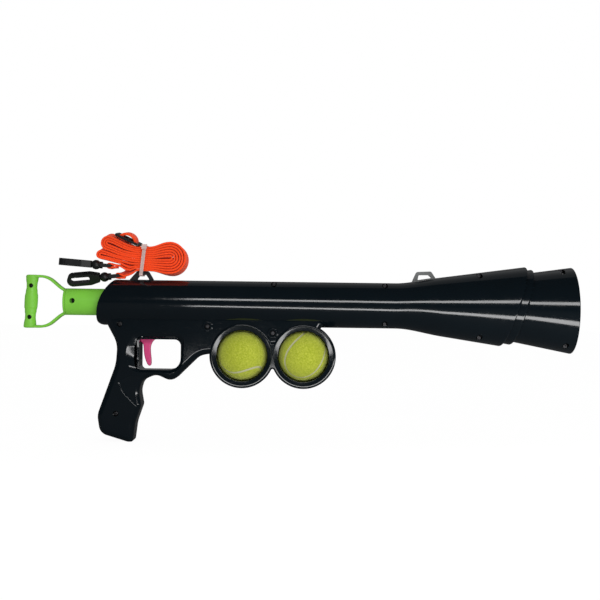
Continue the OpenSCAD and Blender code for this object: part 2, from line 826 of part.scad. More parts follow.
// Helical spring along Z with closed end turns
module coil(r, wire, length, turns, closed = 1, steps = spring_steps, sides = 6) {
    rise = length - wire;
    dead = closed * (wire + 0.35);
    function height(u) =
        u < closed ? u * (wire + 0.35)
        : u > turns - closed ? rise - (turns - u) * (wire + 0.35)
        : dead + (u - closed) / (turns - 2 * closed) * (rise - 2 * dead);
    count = turns * steps;
    loft([for (i = [0 : count])
        let (u = i / steps, a = 360 * u)
        [for (j = [0 : sides - 1])
            let (b = -360 * j / sides, q = r + wire / 2 * cos(b))
            [q * cos(a), q * sin(a), wire / 2 + height(u) + wire / 2 * sin(b)]]]);
}

module drive_spring() {
    start = guide_x + guide_t + free_gap;
    color(steel_grey) translate([start, 0, 0]) rotate([0, 90, 0])
        coil(spring_r, spring_wire, striker_x - striker_t - free_gap - start, spring_turns);
}

module buffer_ring() {
    color(black_plastic) turned_on_axis([
        [seat_hole, seat_x - buffer_t], [seat_hole + 6.5, seat_x - buffer_t],
        [seat_hole + 6.5, seat_x - seat_gap], [seat_hole, seat_x - seat_gap]]);
}

// Dish, chamber and funnel that the ball rolls down
module ball_chamber() {
    dish = 3;
    cone_x = seat_x + 15;
    color(black_plastic) turned_on_axis([
        [seat_hole, seat_x], [seat_hole + 10, seat_x], [chamber_out, seat_x + 10],
        [chamber_out, chamber_rib_x + rib_t + seat_gap],
        [collar_r, chamber_rib_x + rib_t + seat_gap], [collar_r, chamber_rib_x + rib_t + 2.1],
        [chamber_out, chamber_rib_x + rib_t + 2.1],
        [chamber_out, funnel_x], [liner_at(mouth_x), mouth_x],
        [liner_at(mouth_x) - 0.6, mouth_x],
        [liner_at(mouth_x - 4) - chamber_wall, mouth_x - 4],
        [chamber_r, funnel_x + 1.5], [chamber_r, cone_x],
        [chamber_r - 3, cone_x - 6], [seat_hole + 8, seat_x + dish + 1.6],
        [seat_hole, seat_x + dish]]);
}

// Trigger: blade, hub and the arm that draws the catch block down
trigger_blade = [
    [window_x - 0.7, window_z + 2.2], [window_x - 0.7, window_z - 2.8],
    [window_x + 3.3, window_z - 6.3], [window_x + 3.7, window_z - 14],
    [window_x + 4.7, window_z - 22], [window_x + 7.1, window_z - 29.3],
    [window_x + 9.1, window_z - 33.2], [window_x + 11.5, window_z - 34.4],
    [window_x + 13.5, window_z - 33.2], [window_x + 13.7, window_z - 27],
    [window_x + 12.3, window_z - 16], [window_x + 12.3, window_z - 9],
    [window_x + 15, window_z - 3], [window_x + 19, window_z + 0.2],
    [window_x + 29, window_z + 0.2], [window_x + 28, pivot_z - 3], [window_x + 18, pivot_z - 2]
];
module trigger() {
    color(pink_plastic) difference() {
        union() {
            plate_y(trigger_blade, -trigger_half, trigger_half);
            rod_y([pivot_x, pivot_z], 6, -trigger_half, trigger_half);
            plate_y([
                [pivot_x - 3, pivot_z], [pivot_x + 3.5, pivot_z], [pivot_x + 5, arm_z - 1.2],
                [catch_x, arm_z - 1.2], [catch_x, arm_z + 1.2], [pivot_x - 1, arm_z + 1.2]],
                -trigger_half, trigger_half);
            rod_y([catch_x, arm_z], lift_r, -trigger_half, trigger_half);
        }
        rod_y([pivot_x, pivot_z], pin_r + slide_fit, -panel_t, panel_t);
    }
}

module trigger_pin() {
    reach = panel_half - wall - 0.2;
    color(steel_grey) rod_y([pivot_x, pivot_z], pin_r, -reach, reach);
}

// Block that rises into the tube's slot: its window takes the trigger's arm
module catch_block() {
    slot_h = 2 * (lift_r + 0.25);
    color(steel_grey) difference() {
        union() {
            translate([catch_x - catch_l / 2, -catch_half, catch_low])
                cube([catch_l, 2 * catch_half, arm_z + 5 - catch_low]);
            translate([catch_x - catch_l / 2, -catch_half + 2, catch_low])
                cube([catch_l, 2 * catch_half - 4, catch_top - catch_low]);
        }
        translate([catch_x - catch_l, -trigger_half - 0.4, arm_z - slot_h / 2])
            cube([2 * catch_l, 2 * trigger_half + 0.8, slot_h]);
    }
}

module catch_spring() {
    color(steel_grey) translate([catch_x, 0, floor_z + 0.3])
        coil(2.6, 0.8, catch_low - floor_z - 0.6, 4, 0.5);
}

module ball(x) {
    color(ball_yellow) translate([x, 0, ring_z]) sphere(d = ball_d, $fn = 96);
}

module rear_ball() {
    ball(ring_places[0]);
}

module front_ball() {
    ball(ring_places[1]);
}

// Loop that stands out of the barrel's top, with a foot inside the shells
module sling_loop(outline, hole, foot_z0, foot_x0, foot_x1) {
    difference() {
        plate_y(inset_outline(outline, 0, 4), -loop_half, loop_half);
        plate_y(inset_outline(hole, 0, 4), -2 * loop_half, 2 * loop_half);
    }
    translate([foot_x0, -loop_half - 3, foot_z0]) cube([foot_x1 - foot_x0, 2 * loop_half + 6, 2.4]);
}

module rear_sling_loop() {
    color(black_plastic) sling_loop(rear_loop_outline, rear_loop_hole,
        bore_r - 3.2, rear_loop_x + 1.4, rear_loop_x + 29);
}

module front_sling_loop() {
    color([0.25, 0.26, 0.27]) sling_loop(front_loop_outline, front_loop_hole,
        front_base - 2.1, front_loop_x + 1.4, front_loop_x + 28);
}

// End of a lobe's arc for a turn of radius r: side 1 is the upper end, -1 the lower one
function lobe_end(lobe, r, side) = lobe[0] + turned([0, r], lobe[1]) * side * (lobe[1] > 90 ? -1 : 1);

// Points of one turn from run a to run b: out along a lobe, round and back
function lobe_turn(lobe, wx, a, b, r) =
    let (dir = turned([1, 0], lobe[1]))
    let (flat = [lobe[1] > 90 ? -1 : 1, 0])
    let (side = a < b ? 1 : -1)
    let (p = [wx, run_z(a)], q = [wx, run_z(b)])
    let (pe = lobe_end(lobe, r, side), qe = lobe_end(lobe, r, -side))
    let (reach = norm(pe - p) * 0.4)
    let (spin = side * (lobe[1] > 90 ? 180 : -180))
    concat([p],
        [for (t = [0.33, 0.66]) bezier(p, p + flat * reach, pe - dir * reach, pe, t)],
        [for (k = [0 : arc_points]) lobe[0] + turned(pe - lobe[0], spin * k / arc_points)],
        [for (t = [0.66, 0.33]) bezier(q, q + flat * reach, qe - dir * reach, qe, t)],
        [q]);

// Radius of the turn that joins two runs
function right_radius(a, b) = right_lobe[2] + (abs(a - b) - 1) / 2 * lobe_step;
function left_radius(lobe, a, b) = lobe[2] + (abs(a - b) - 1) / 2 * lobe_step;
function left_lobe(a) = a <= 6 ? upper_lobe : middle_lobe;

// End of the webbing, turned round a hook's bar: from its tail to where it leaves for the waist
function wrapped_end(c, slope, k) =
    let (u = turned([1, 0], slope), n = left_of(u), q = [waist_x[0], run_z(k)], p = c + u * 8 + n * 1.25)
    concat(
        [c + u * 9 - n * 1.25, c + u * 4.5 - n * 1.7],
        [for (a = [-75 : -42 : -285]) c + turned([wrap_r, 0], slope + a)],
        [c + u * 4.5 + n * 1.7, p],
        [for (t = [0.4, 0.75]) bezier(p, p + u * 8, q - [9, 0], q, t)]);
function reversed(list) = [for (i = [len(list) - 1 : -1 : 0]) list[i]];

// The whole strap as one path: from the lower hook, run by run, to the upper hook
strap_path = concat(
    wrapped_end(bar_at(lower_neck, lower_slope), lower_lift, run_order[0]),
    [for (i = [0 : runs - 2])
        let (a = run_order[i], b = run_order[i + 1])
        each i % 2 == 0
            ? concat([[waist_x[0], run_z(a)]], lobe_turn(right_lobe, waist_x[1], a, b, right_radius(a, b)))
            : lobe_turn(left_lobe(a), waist_x[0], a, b, left_radius(left_lobe(a), a, b))],
    [[waist_x[0], run_z(run_order[runs - 1])]],
    reversed(wrapped_end(bar_at(upper_neck, upper_slope), upper_lift, run_order[runs - 1])));
strap_line = [for (i = [0 : len(strap_path) - 1])
    if (i == 0 || norm(strap_path[i] - strap_path[i - 1]) > 0.05) strap_path[i]];

// Least distance between stretches of the strap that aren't neighbours, less its thickness
function point_to_piece(p, a, b) =
    let (ab = b - a, s = max(0, min(1, (p - a) * ab / (ab * ab)))) norm(p - a - ab * s);
strap_gap = min([for (i = [0 : len(strap_line) - 1])
    min([for (j = [0 : len(strap_line) - 2])
        if (abs(i - j) > 3 && abs(i - j - 1) > 3)
            point_to_piece(strap_line[i], strap_line[j], strap_line[j + 1])])]) - web_t;
strap_length = [for (i = [0 : len(strap_line) - 2]) norm(strap_line[i + 1] - strap_line[i])]
    * [for (i = [0 : len(strap_line) - 2]) 1];
echo(strap_gap = strap_gap, strap_length = strap_length, strap_rings = len(strap_line));

// Flat webbing that follows a path in the launcher's middle plane
module webbing(path) {
    half_w = web_w / 2;
    side_w = half_w - web_chamfer;
    section = [
        [-web_t / 2, -side_w], [0, -half_w], [web_t / 2, -side_w],
        [web_t / 2, side_w], [0, half_w], [-web_t / 2, side_w]];
    loft([for (i = [0 : len(path) - 1])
        let (n = left_of(tangent(path, i)))
        [for (s = section) [path[i].x + n.x * s.x, s.y, path[i].y + n.y * s.x]]]);
}

module strap() {
    color(orange_web) webbing(strap_line);
}

// Places what is drawn flat round the origin on top of the hank
module at_slider() {
    translate([slider_at.x, 0, slider_at.y]) rotate([0, -slider_tilt, 0]) children();
}

module strap_end() {
    foot = -slider_t / 2;
    half = slider_l / 2 - 6;
    color(orange_web) at_slider()
        webbing([for (k = [0 : 12]) bezier([half, foot], [half * 0.8, 10.4], [-half * 0.8, 10.4],
            [-half, foot], k / 12)]);
}

module strap_slider() {
    half_w = web_w / 2 + 0.6 + slider_rail;
    half_l = slider_l / 2;
    slot = half_l - slider_bar - slider_bar / 2;
    color(black_plastic) at_slider() difference() {
        translate([0, 0, -slider_t / 2]) linear_extrude(slider_t) polygon(inset_outline([
            [-half_l, -half_w, 3], [half_l, -half_w, 3], [half_l, half_w, 3], [-half_l, half_w, 3]],
            0, 4));
        for (x = [slider_bar / 2, -slider_bar / 2 - slot])
            translate([x, -web_w / 2 - 0.6, -slider_t]) cube([slot, web_w + 1.2, 2 * slider_t]);
    }
}

module zip_tie() {
    half = web_w / 2 + 0.35;
    function frame(out) = inset_outline([
        [-half, tie_low, 1.2], [half, tie_low, 1.2], [half, tie_high, 1.2], [-half, tie_high, 1.2]],
        -out, 4);
    color(clear_white) {
        translate([tie_x - tie_w / 2, 0, 0]) rotate([90, 0, 90]) linear_extrude(tie_w) difference() {
            polygon(frame(tie_t));
            polygon(frame(0));
        }
        // Head with the ratchet, at the near upper corner
        translate([tie_x - tie_w / 2 - 0.9, -half - tie_t - 4.6, tie_high - 3.4])
            cube([tie_w + 1.8, 5, 6]);
    }
}

// Places a hook's pieces: along X from the neck, turned to the slope and rolled
module at_hook(neck, slope, roll) {
    translate([neck.x, 0, neck.y]) rotate([0, slope, 0]) rotate([roll, 0, 0])
        mirror([1, 0, 0]) children();
}

// Snap hook: frame with an opening, a sprung gate cut in one side, and a neck
module snap_hook() {
    half = hook_h / 2;
    bar = 3.8;
    round_x = hook_l - half;
    opening = [
        [13, half - bar, 2], [13, -half + bar, 2],
        [hook_l - bar, -half + bar, half - bar - 0.2], [hook_l - bar, half - bar, half - bar - 0.2]];
    difference() {
        union() {
            translate([0, hook_t / 2, 0]) rotate([90, 0, 0]) linear_extrude(hook_t)
                polygon(inset_outline([
                    [0, -4.6, 1.5], [12, -half, 8], [hook_l, -half, half - 0.3],
                    [hook_l, half, half - 0.3], [12, half, 8], [0, 4.6, 1.5]], 0, 6));
            rod_x(neck_r, -neck_l, 1, 40);
            rod_x(neck_r + 0.9, -neck_l - 1.8, -neck_l, 40);
        }
        translate([0, hook_t, 0]) rotate([90, 0, 0]) linear_extrude(2 * hook_t)
            polygon(inset_outline(opening, 0, 5));
        // Parting of the gate from the hook's nose
        translate([round_x - 2, 0, half - bar / 2]) rotate([0, 35, 0])
            cube([0.8, 2 * hook_t, 3 * bar], center = true);
    }
}

// Webbing eye that the hook turns in: a hollow knob on a fork whose bar holds the webbing
module hook_eye() {
    half_w = web_w / 2 + 3;
    frame_x = -neck_l - 4.4 - eye_l;
    knob_x = -neck_l / 2 - 1.2;
    turned_on_axis([
        [neck_r + slide_fit, -0.4],
        for (a = [60 : -15 : -45]) [knob_r * cos(a), knob_x + knob_r * sin(a)],
        [4.4, knob_x - knob_r + 0.6], [4.4, -neck_l - 4.9], [0, -neck_l - 4.9],
        [0, -neck_l - 2.1], [neck_r + 1.1, -neck_l - 2.1], [neck_r + 1.1, -neck_l + 0.2],
        [neck_r + slide_fit, -neck_l + 0.2]]);
    difference() {
        translate([frame_x, -half_w, -eye_t / 2]) cube([eye_l, 2 * half_w, eye_t]);
        translate([frame_x - 1, -web_w / 2 - 0.5, -eye_t]) cube([eye_l - 3, web_w + 1, 2 * eye_t]);
    }
    rod_y([-eye_bar, 0], eye_bar_r, -half_w + 1, half_w - 1, 32);
}

module upper_hook() {
    color(black_plastic) at_hook(upper_neck, upper_slope, upper_roll) snap_hook();
}

module upper_hook_eye() {
    color(black_plastic) at_hook(upper_neck, upper_slope, 0) hook_eye();
}

module lower_hook() {
    color(black_plastic) at_hook(lower_neck, lower_slope, lower_roll) snap_hook();
}

module lower_hook_eye() {
    color(black_plastic) at_hook(lower_neck, lower_slope, 0) hook_eye();
}

// Moves the launcher so that the grip's middle is at the origin
module placed() {
    translate([-grip_at.x, 0, -grip_at.y]) children();
}

placed() left_shell();
placed() right_shell();
placed() body_screws();
placed() pull_tube();
placed() handle_left_half();
placed() handle_right_half();
placed() handle_screws();
placed() rear_bush();
placed() rod_guide();
placed() push_rod();
placed() rod_coupler();
placed() coupler_pin();
placed() striker();
placed() striker_pad();
placed() drive_spring();
placed() buffer_ring();
placed() ball_chamber();
placed() trigger();
placed() trigger_pin();
placed() catch_block();
placed() catch_spring();
placed() rear_ball();
placed() front_ball();
placed() rear_sling_loop();
placed() front_sling_loop();
placed() strap();
placed() strap_end();
placed() strap_slider();
placed() zip_tie();
placed() upper_hook();
placed() upper_hook_eye();
placed() lower_hook();
placed() lower_hook_eye();
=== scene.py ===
"""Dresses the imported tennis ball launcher: moulded body, felt balls, webbing strap, studio and camera.

Sizes in the classes are millimetres in the barrel's own coordinates: X runs along the barrel from its
rear end, Z is the height over its axis and the near side faces -Y. Meshes are stored in metres, in the
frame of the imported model, whose origin is the middle of the pistol grip.
"""

from __future__ import annotations

import logging
import math
from abc import ABC, abstractmethod
from dataclasses import dataclass, field
from enum import Enum
from typing import Any, Iterable, Optional, Sequence, Union

import bmesh
import bpy
import numpy as np
from mathutils import Matrix, Quaternion, Vector
from mathutils.bvhtree import BVHTree
from mathutils.interpolate import poly_3d_calc

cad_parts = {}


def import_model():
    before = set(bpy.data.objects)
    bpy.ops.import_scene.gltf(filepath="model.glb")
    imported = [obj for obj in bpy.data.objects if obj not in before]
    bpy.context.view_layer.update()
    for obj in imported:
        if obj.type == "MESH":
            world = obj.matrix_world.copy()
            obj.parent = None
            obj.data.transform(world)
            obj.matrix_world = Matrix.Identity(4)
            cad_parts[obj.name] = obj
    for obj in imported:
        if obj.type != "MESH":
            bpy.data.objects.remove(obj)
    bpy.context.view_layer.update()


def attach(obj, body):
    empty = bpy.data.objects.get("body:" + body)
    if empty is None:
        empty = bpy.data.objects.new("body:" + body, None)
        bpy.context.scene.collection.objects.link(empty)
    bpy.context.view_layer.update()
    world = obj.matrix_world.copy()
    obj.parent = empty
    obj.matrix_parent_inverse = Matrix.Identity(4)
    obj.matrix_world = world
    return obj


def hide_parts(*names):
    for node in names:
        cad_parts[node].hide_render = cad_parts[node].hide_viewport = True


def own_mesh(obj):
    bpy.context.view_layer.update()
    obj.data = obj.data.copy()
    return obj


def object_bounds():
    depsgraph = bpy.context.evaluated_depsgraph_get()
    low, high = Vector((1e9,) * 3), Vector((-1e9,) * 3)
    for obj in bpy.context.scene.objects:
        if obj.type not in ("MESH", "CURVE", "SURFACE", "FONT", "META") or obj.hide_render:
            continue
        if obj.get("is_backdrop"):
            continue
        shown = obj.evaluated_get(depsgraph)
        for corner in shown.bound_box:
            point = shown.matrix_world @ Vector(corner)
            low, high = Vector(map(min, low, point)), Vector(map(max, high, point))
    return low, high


LOG = logging.getLogger("launcher")

MM = 0.001
# Middle of the grip in barrel millimetres, where the model's origin lies
GRIP_AT = np.array([37.0, 0.0, -116.0])
# Faces that turn by less than this are shaded as one surface
SMOOTH_LIMIT = math.radians(32)
# How near (in metres) and how level (as a cosine) a carved face lies to the skin that it comes from
TOUCH, SAME_WAY = 4e-5, 0.975
# Points nearer than this (in metres) are one, and faces that turn by less than this are one
DOUBLES, FLAT_LIMIT = 2e-6, math.radians(0.6)
# Edges that turn by more than this are rounded
EDGE_LIMIT = math.radians(33)
# Roll of the slider and of the webbing in it, in degrees
SLIDER_ROLL = -6.0
# How much the front falls, and between which two distances from the rear end
DROOPS = ((0.9, 395, 470), (2.6, 500, 620))

Point2 = Sequence[float]
Colour = tuple[float, float, float]
Triple = tuple[float, float, float]
Pair = tuple[float, float]
Pairs = tuple[Pair, ...]
Piece = bpy.types.Object
Mesh = bpy.types.Mesh
Inputs = Optional[dict[Union[int, str], Any]]


def placed(points: Any) -> np.ndarray:
    """Points in barrel millimetres as points in the model's frame, in metres."""
    return (np.asarray(points, float) - GRIP_AT) * MM


def at(x: float, y: float, z: float) -> Vector:
    """One point in barrel millimetres, in the model's frame."""
    return Vector(placed([x, y, z]))


def unit(vector: np.ndarray) -> np.ndarray:
    """The vector at length one."""
    return vector / max(float(np.linalg.norm(vector)), 1e-12)


def left_of(vector: np.ndarray) -> np.ndarray:
    """A flat vector turned a quarter to the left."""
    return np.array([-vector[1], vector[0]])


def turned(vector: Point2, degrees: float) -> np.ndarray:
    """A flat vector turned anticlockwise."""
    c, s = math.cos(math.radians(degrees)), math.sin(math.radians(degrees))
    return np.array([vector[0] * c - vector[1] * s, vector[0] * s + vector[1] * c])


def bezier(points: Sequence[Any], t: float) -> np.ndarray:
    """A point of the cubic curve through four control points.

    Args:
        points: The four control points.
        t: Place on the curve, from 0 to 1.

    Returns:
        The point.
    """
    a, b, c, d = (np.asarray(p, float) for p in points)
    u = 1 - t
    return a * u**3 + 3 * b * t * u**2 + 3 * c * t * t * u + d * t**3


def corner_arc(before: np.ndarray, corner: np.ndarray, after: np.ndarray, radius: float,
               steps: int) -> list[np.ndarray]:
    """Rounds one corner of a flat outline.

    Args:
        before: The point before the corner.
        corner: The corner.
        after: The point after it.
        radius: Radius of the rounding.
        steps: Number of steps of the arc.

    Returns:
        The arc's points.
    """
    a, b = unit(corner - before), unit(after - corner)
    turn = math.atan2(a[0] * b[1] - a[1] * b[0], float(a @ b))
    start = corner - a * radius * math.tan(abs(turn) / 2)
    centre = start + left_of(a) * radius * math.copysign(1, turn)
    return [centre + turned(start - centre, math.degrees(turn) * k / steps) for k in range(steps + 1)]


def inset_outline(points: Sequence[Sequence[float]], inset: float, steps: int) -> np.ndarray:
    """Moves a closed outline inwards and rounds its corners.

    Args:
        points: Corners as x, z and radius, anticlockwise.
        inset: Distance inwards.
        steps: Steps of each rounded corner.

    Returns:
        The outline's points, one row each.
    """
    flat = [np.array(p[:2], float) for p in points]
    count = len(flat)
    ways = [unit(flat[(i + 1) % count] - flat[i]) for i in range(count)]
    moved, radii = [], []
    for i in range(count):
        a, b = ways[i - 1], ways[i]
        turn = math.atan2(a[0] * b[1] - a[1] * b[0], float(a @ b))
        moved.append(flat[i] + (left_of(a) + left_of(b)) * inset / (1 + float(a @ b)))
        radii.append(max(points[i][2] - math.copysign(1, turn) * inset, 0.3))
    outline: list[np.ndarray] = []
    for i in range(count):
        outline += corner_arc(moved[i - 1], moved[i], moved[(i + 1) % count], radii[i], steps)
    return np.array(outline)


def tangents(path: np.ndarray) -> np.ndarray:
    """Directions of an open path at its points.

    Args:
        path: The path's points.

    Returns:
        A unit vector for each point.
    """
    ways = np.empty_like(path)
    ways[1:-1] = path[2:] - path[:-2]
    ways[0], ways[-1] = path[1] - path[0], path[-1] - path[-2]
    return ways / np.linalg.norm(ways, axis=1, keepdims=True)


def rounded_path(points: Sequence[Sequence[float]], steps: int) -> np.ndarray:
    """An open path whose corners are rounded.

    Args:
        points: Corners as x, z and radius.
        steps: Steps of each corner.

    Returns:
        The path's points.
    """
    flat = [np.array(p[:2], float) for p in points]
    path = [flat[0]]
    for i in range(1, len(flat) - 1):
        path += corner_arc(flat[i - 1], flat[i], flat[i + 1], points[i][2], steps)
    return np.array(path + [flat[-1]])


def strip(path: np.ndarray, thick: float) -> np.ndarray:
    """Outline of a strip that follows a path.

    Args:
        path: The middle line.
        thick: The strip's thickness.

    Returns:
        The closed outline.
    """
    ways = tangents(path)
    side = np.stack([-ways[:, 1], ways[:, 0]], 1) * thick / 2
    return np.concatenate([path - side, (path + side)[::-1]])


def cut_corners(outline: Any, times: int) -> np.ndarray:
    """A closed outline smoothed by cutting its corners again and again.

    Args:
        outline: Points as x and z.
        times: How often the corners are cut.

    Returns:
        The smoother outline.
    """
    points = np.asarray(outline, float)
    for _ in range(times):
        ahead = np.roll(points, -1, 0)
        points = np.stack([points * 0.75 + ahead * 0.25, points * 0.25 + ahead * 0.75], 1).reshape(-1, 2)
    return points


def drawn_in(outline: np.ndarray, inset: float) -> np.ndarray:
    """A smooth anticlockwise outline moved inwards.

    Args:
        outline: Points as x and z.
        inset: Distance inwards.

    Returns:
        The smaller outline.
    """
    way = np.roll(outline, -1, 0) - np.roll(outline, 1, 0)
    way /= np.linalg.norm(way, axis=1, keepdims=True)
    return outline + np.stack([-way[:, 1], way[:, 0]], 1) * inset


def smoothstep(values: Any, low: float, high: float) -> Any:
    """0 below low, 1 above high and a smooth rise between."""
    t = np.clip((np.asarray(values, float) - low) / (high - low), 0, 1)
    return t * t * (3 - 2 * t)


def flat_ring(outline: np.ndarray, y: float) -> np.ndarray:
    """A side outline's points at one distance from the middle plane."""
    return np.stack([outline[:, 0], np.full(len(outline), y), outline[:, 1]], 1)


# --- Meshes ---


class Cut(Enum):
    """What a boolean step does with the second form."""

    JOIN = "UNION"
    REMOVE = "DIFFERENCE"
    KEEP = "INTERSECT"


@dataclass
class Form:
    """A closed solid as points in barrel millimetres and faces."""

    points: np.ndarray
    faces: list[tuple[int, ...]]

    @classmethod
    def from_rings(cls, rings: Any) -> "Form":
        """A solid through rings of equally many points, closed by flat ends.

        Args:
            rings: Rings of points, from one end to the other.

        Returns:
            The closed form.
        """
        rings = np.asarray(rings, float)
        count, sides = rings.shape[:2]
        faces: list[tuple[int, ...]] = []
        for k in range(count - 1):
            for i in range(sides):
                a, b = k * sides + i, k * sides + (i + 1) % sides
                faces.append((a, b, b + sides, a + sides))
        faces.append(tuple(range(sides - 1, -1, -1)))
        faces.append(tuple((count - 1) * sides + i for i in range(sides)))
        return cls(rings.reshape(-1, 3), faces)

    @classmethod
    def turned_x(cls, profile: Sequence[Point2], segments: int = 192) -> "Form":
        """A solid turned about the barrel's axis from x, radius points."""
        turn = np.linspace(0, 2 * math.pi, segments, endpoint=False)
        return cls.from_rings([
            np.stack([np.full(segments, x), r * np.cos(turn), r * np.sin(turn)], 1) for x, r in profile
        ])

    @classmethod
    def turned_y(cls, centre: Point2, profile: Sequence[Point2], segments: int = 192) -> "Form":
        """A solid turned about a line across the launcher from radius, y points."""
        turn = np.linspace(0, 2 * math.pi, segments, endpoint=False)
        return cls.from_rings([
            np.stack([centre[0] + r * np.cos(turn), np.full(segments, y), centre[1] + r * np.sin(turn)], 1)
            for r, y in profile
        ])

    @classmethod
    def rod_y(cls, centre: Point2, radius: float, low: float, high: float, segments: int = 48) -> "Form":
        """A plain cylinder across the launcher."""
        return cls.turned_y(centre, [(radius, low), (radius, high)], segments)

    @classmethod
    def plate(cls, outline: Any, low: float, high: float) -> "Form":
        """A side outline given a thickness across the launcher."""
        outline = np.asarray(outline, float)
        return cls.from_rings([flat_ring(outline, y) for y in (low, high)])

    @classmethod
    def box(cls, low: Sequence[float], high: Sequence[float]) -> "Form":
        """A straight box between two corners."""
        (x0, y0, z0), (x1, y1, z1) = low, high
        return cls.plate([(x0, z0), (x1, z0), (x1, z1), (x0, z1)], y0, y1)

    @classmethod
    def soft_plate(cls, outlines: Any, half: float, rounding: float, steps: int = 5) -> "Form":
        """A plate across the launcher with rounded edges.

        Args:
            outlines: Gives the side outline for a distance inwards.
            half: Half of the thickness.
            rounding: Radius of the edges.
            steps: Steps of the rounding.

        Returns:
            The closed form.
        """
        rings = []
        for side in (-1, 1):
            for k in range(steps, -1, -1) if side < 0 else range(steps + 1):
                angle = math.radians(90 * k / steps)
                y = side * (half - rounding + rounding * math.sin(angle))
                rings.append(flat_ring(outlines(rounding * (1 - math.cos(angle))), y))
        return cls.from_rings(rings)

    def to_object(self, name: str) -> Piece:
        """A Blender object of this form, with its faces pointing outwards."""
        mesh = bpy.data.meshes.new(name)
        mesh.from_pydata([tuple(p) for p in placed(self.points)], [], self.faces)
        return linked(name, outwards(mesh))


def outwards(mesh: Mesh) -> Mesh:
    """Turns a closed mesh's faces so that they point outwards.

    Args:
        mesh: A closed mesh.

    Returns:
        The same mesh.
    """
    work = bmesh.new()
    work.from_mesh(mesh)
    bmesh.ops.recalc_face_normals(work, faces=work.faces)
    work.to_mesh(mesh)
    work.free()
    return mesh


def linked(name: str, mesh: Mesh) -> Piece:
    """Puts a mesh into the scene as a new object.

    Args:
        name: The object's name.
        mesh: Its mesh.

    Returns:
        The object.
    """
    piece = bpy.data.objects.new(name, mesh)
    bpy.context.scene.collection.objects.link(piece)
    return piece


def settled(piece: Piece) -> Piece:
    """Turns a piece's modifiers into its mesh.

    Args:
        piece: A piece with modifiers.

    Returns:
        The piece with a plain mesh.
    """
    graph = bpy.context.evaluated_depsgraph_get()
    mesh = bpy.data.meshes.new_from_object(piece.evaluated_get(graph), depsgraph=graph)
    piece.modifiers.clear()
    old, piece.data = piece.data, mesh
    bpy.data.meshes.remove(old)
    return piece


def dropped(piece: Piece) -> None:
    """Takes a helper object out of the file."""
    bpy.data.objects.remove(piece, do_unlink=True)


def corner_normals(mesh: Mesh) -> np.ndarray:
    """Smooth normals of a mesh's corners, weighted by area, kept apart at sharp edges.

    Args:
        mesh: The mesh.

    Returns:
        One unit vector for each corner.
    """
    corners, count = len(mesh.loops), len(mesh.polygons)
    vertex = np.empty(corners, np.int64)
    mesh.loops.foreach_get("vertex_index", vertex)
    totals = np.empty(count, np.int64)
    mesh.polygons.foreach_get("loop_total", totals)
    face = np.repeat(np.arange(count), totals)
    normal, area = np.empty(count * 3), np.empty(count)
    mesh.polygons.foreach_get("normal", normal)
    mesh.polygons.foreach_get("area", area)
    normal = normal.reshape(-1, 3)
    order = np.argsort(vertex, kind="stable")
    used = np.bincount(vertex)
    used = used[used > 0]
    first = np.repeat(np.cumsum(used) - used, used)
    size = np.repeat(used, used)
    rows = np.repeat(np.arange(corners), size)
    columns = first[rows] + np.arange(rows.size) - np.repeat(np.cumsum(size) - size, size)
    own, other = face[order[rows]], face[order[columns]]
    near = np.einsum("ij,ij->i", normal[own], normal[other]) > math.cos(SMOOTH_LIMIT)
    total = np.zeros((corners, 3))
    np.add.at(total, rows, normal[other] * (area[other] * near)[:, None])
    total /= np.maximum(np.linalg.norm(total, axis=1, keepdims=True), 1e-15)
    result = np.empty((corners, 3))
    result[order] = total
    return result


def smoothed(mesh: Mesh, normals: Optional[np.ndarray] = None) -> None:
    """Shades a mesh smoothly, with these corner normals where they are given.

    Args:
        mesh: The mesh.
        normals: One unit vector for each corner.
    """
    mesh.polygons.foreach_set("use_smooth", np.ones(len(mesh.polygons), bool))
    if normals is not None:
        mesh.normals_split_custom_set(normals.tolist())


def shaded(piece: Piece) -> Piece:
    """Gives a piece smooth normals that keep its flat faces flat."""
    smoothed(piece.data, corner_normals(piece.data))
    return piece


def points_of(mesh: Mesh) -> np.ndarray:
    """A mesh's points, one row each.

    Args:
        mesh: The mesh.

    Returns:
        The points in metres.
    """
    points = np.empty(len(mesh.vertices) * 3)
    mesh.vertices.foreach_get("co", points)
    return points.reshape(-1, 3)


class SmoothSurface:
    """The skin of a form, which knows the smooth normal at any of its points."""

    def __init__(self, mesh: Mesh) -> None:
        """Keeps a copy of a mesh's points, faces and corner normals."""
        self.points = [v.co.copy() for v in mesh.vertices]
        self.faces = [tuple(p.vertices) for p in mesh.polygons]
        self.first = [p.loop_start for p in mesh.polygons]
        self.normals = corner_normals(mesh)
        self.tree = BVHTree.FromPolygons(self.points, self.faces)

    def normal_at(self, index: int, point: Vector) -> np.ndarray:
        """The smooth normal of one face at a point.

        Args:
            index: The face.
            point: A point on it.

        Returns:
            The normal.
        """
        corners = self.faces[index]
        weights = poly_3d_calc([self.points[v] for v in corners], point)
        start = self.first[index]
        return np.asarray(weights) @ self.normals[start:start + len(corners)]


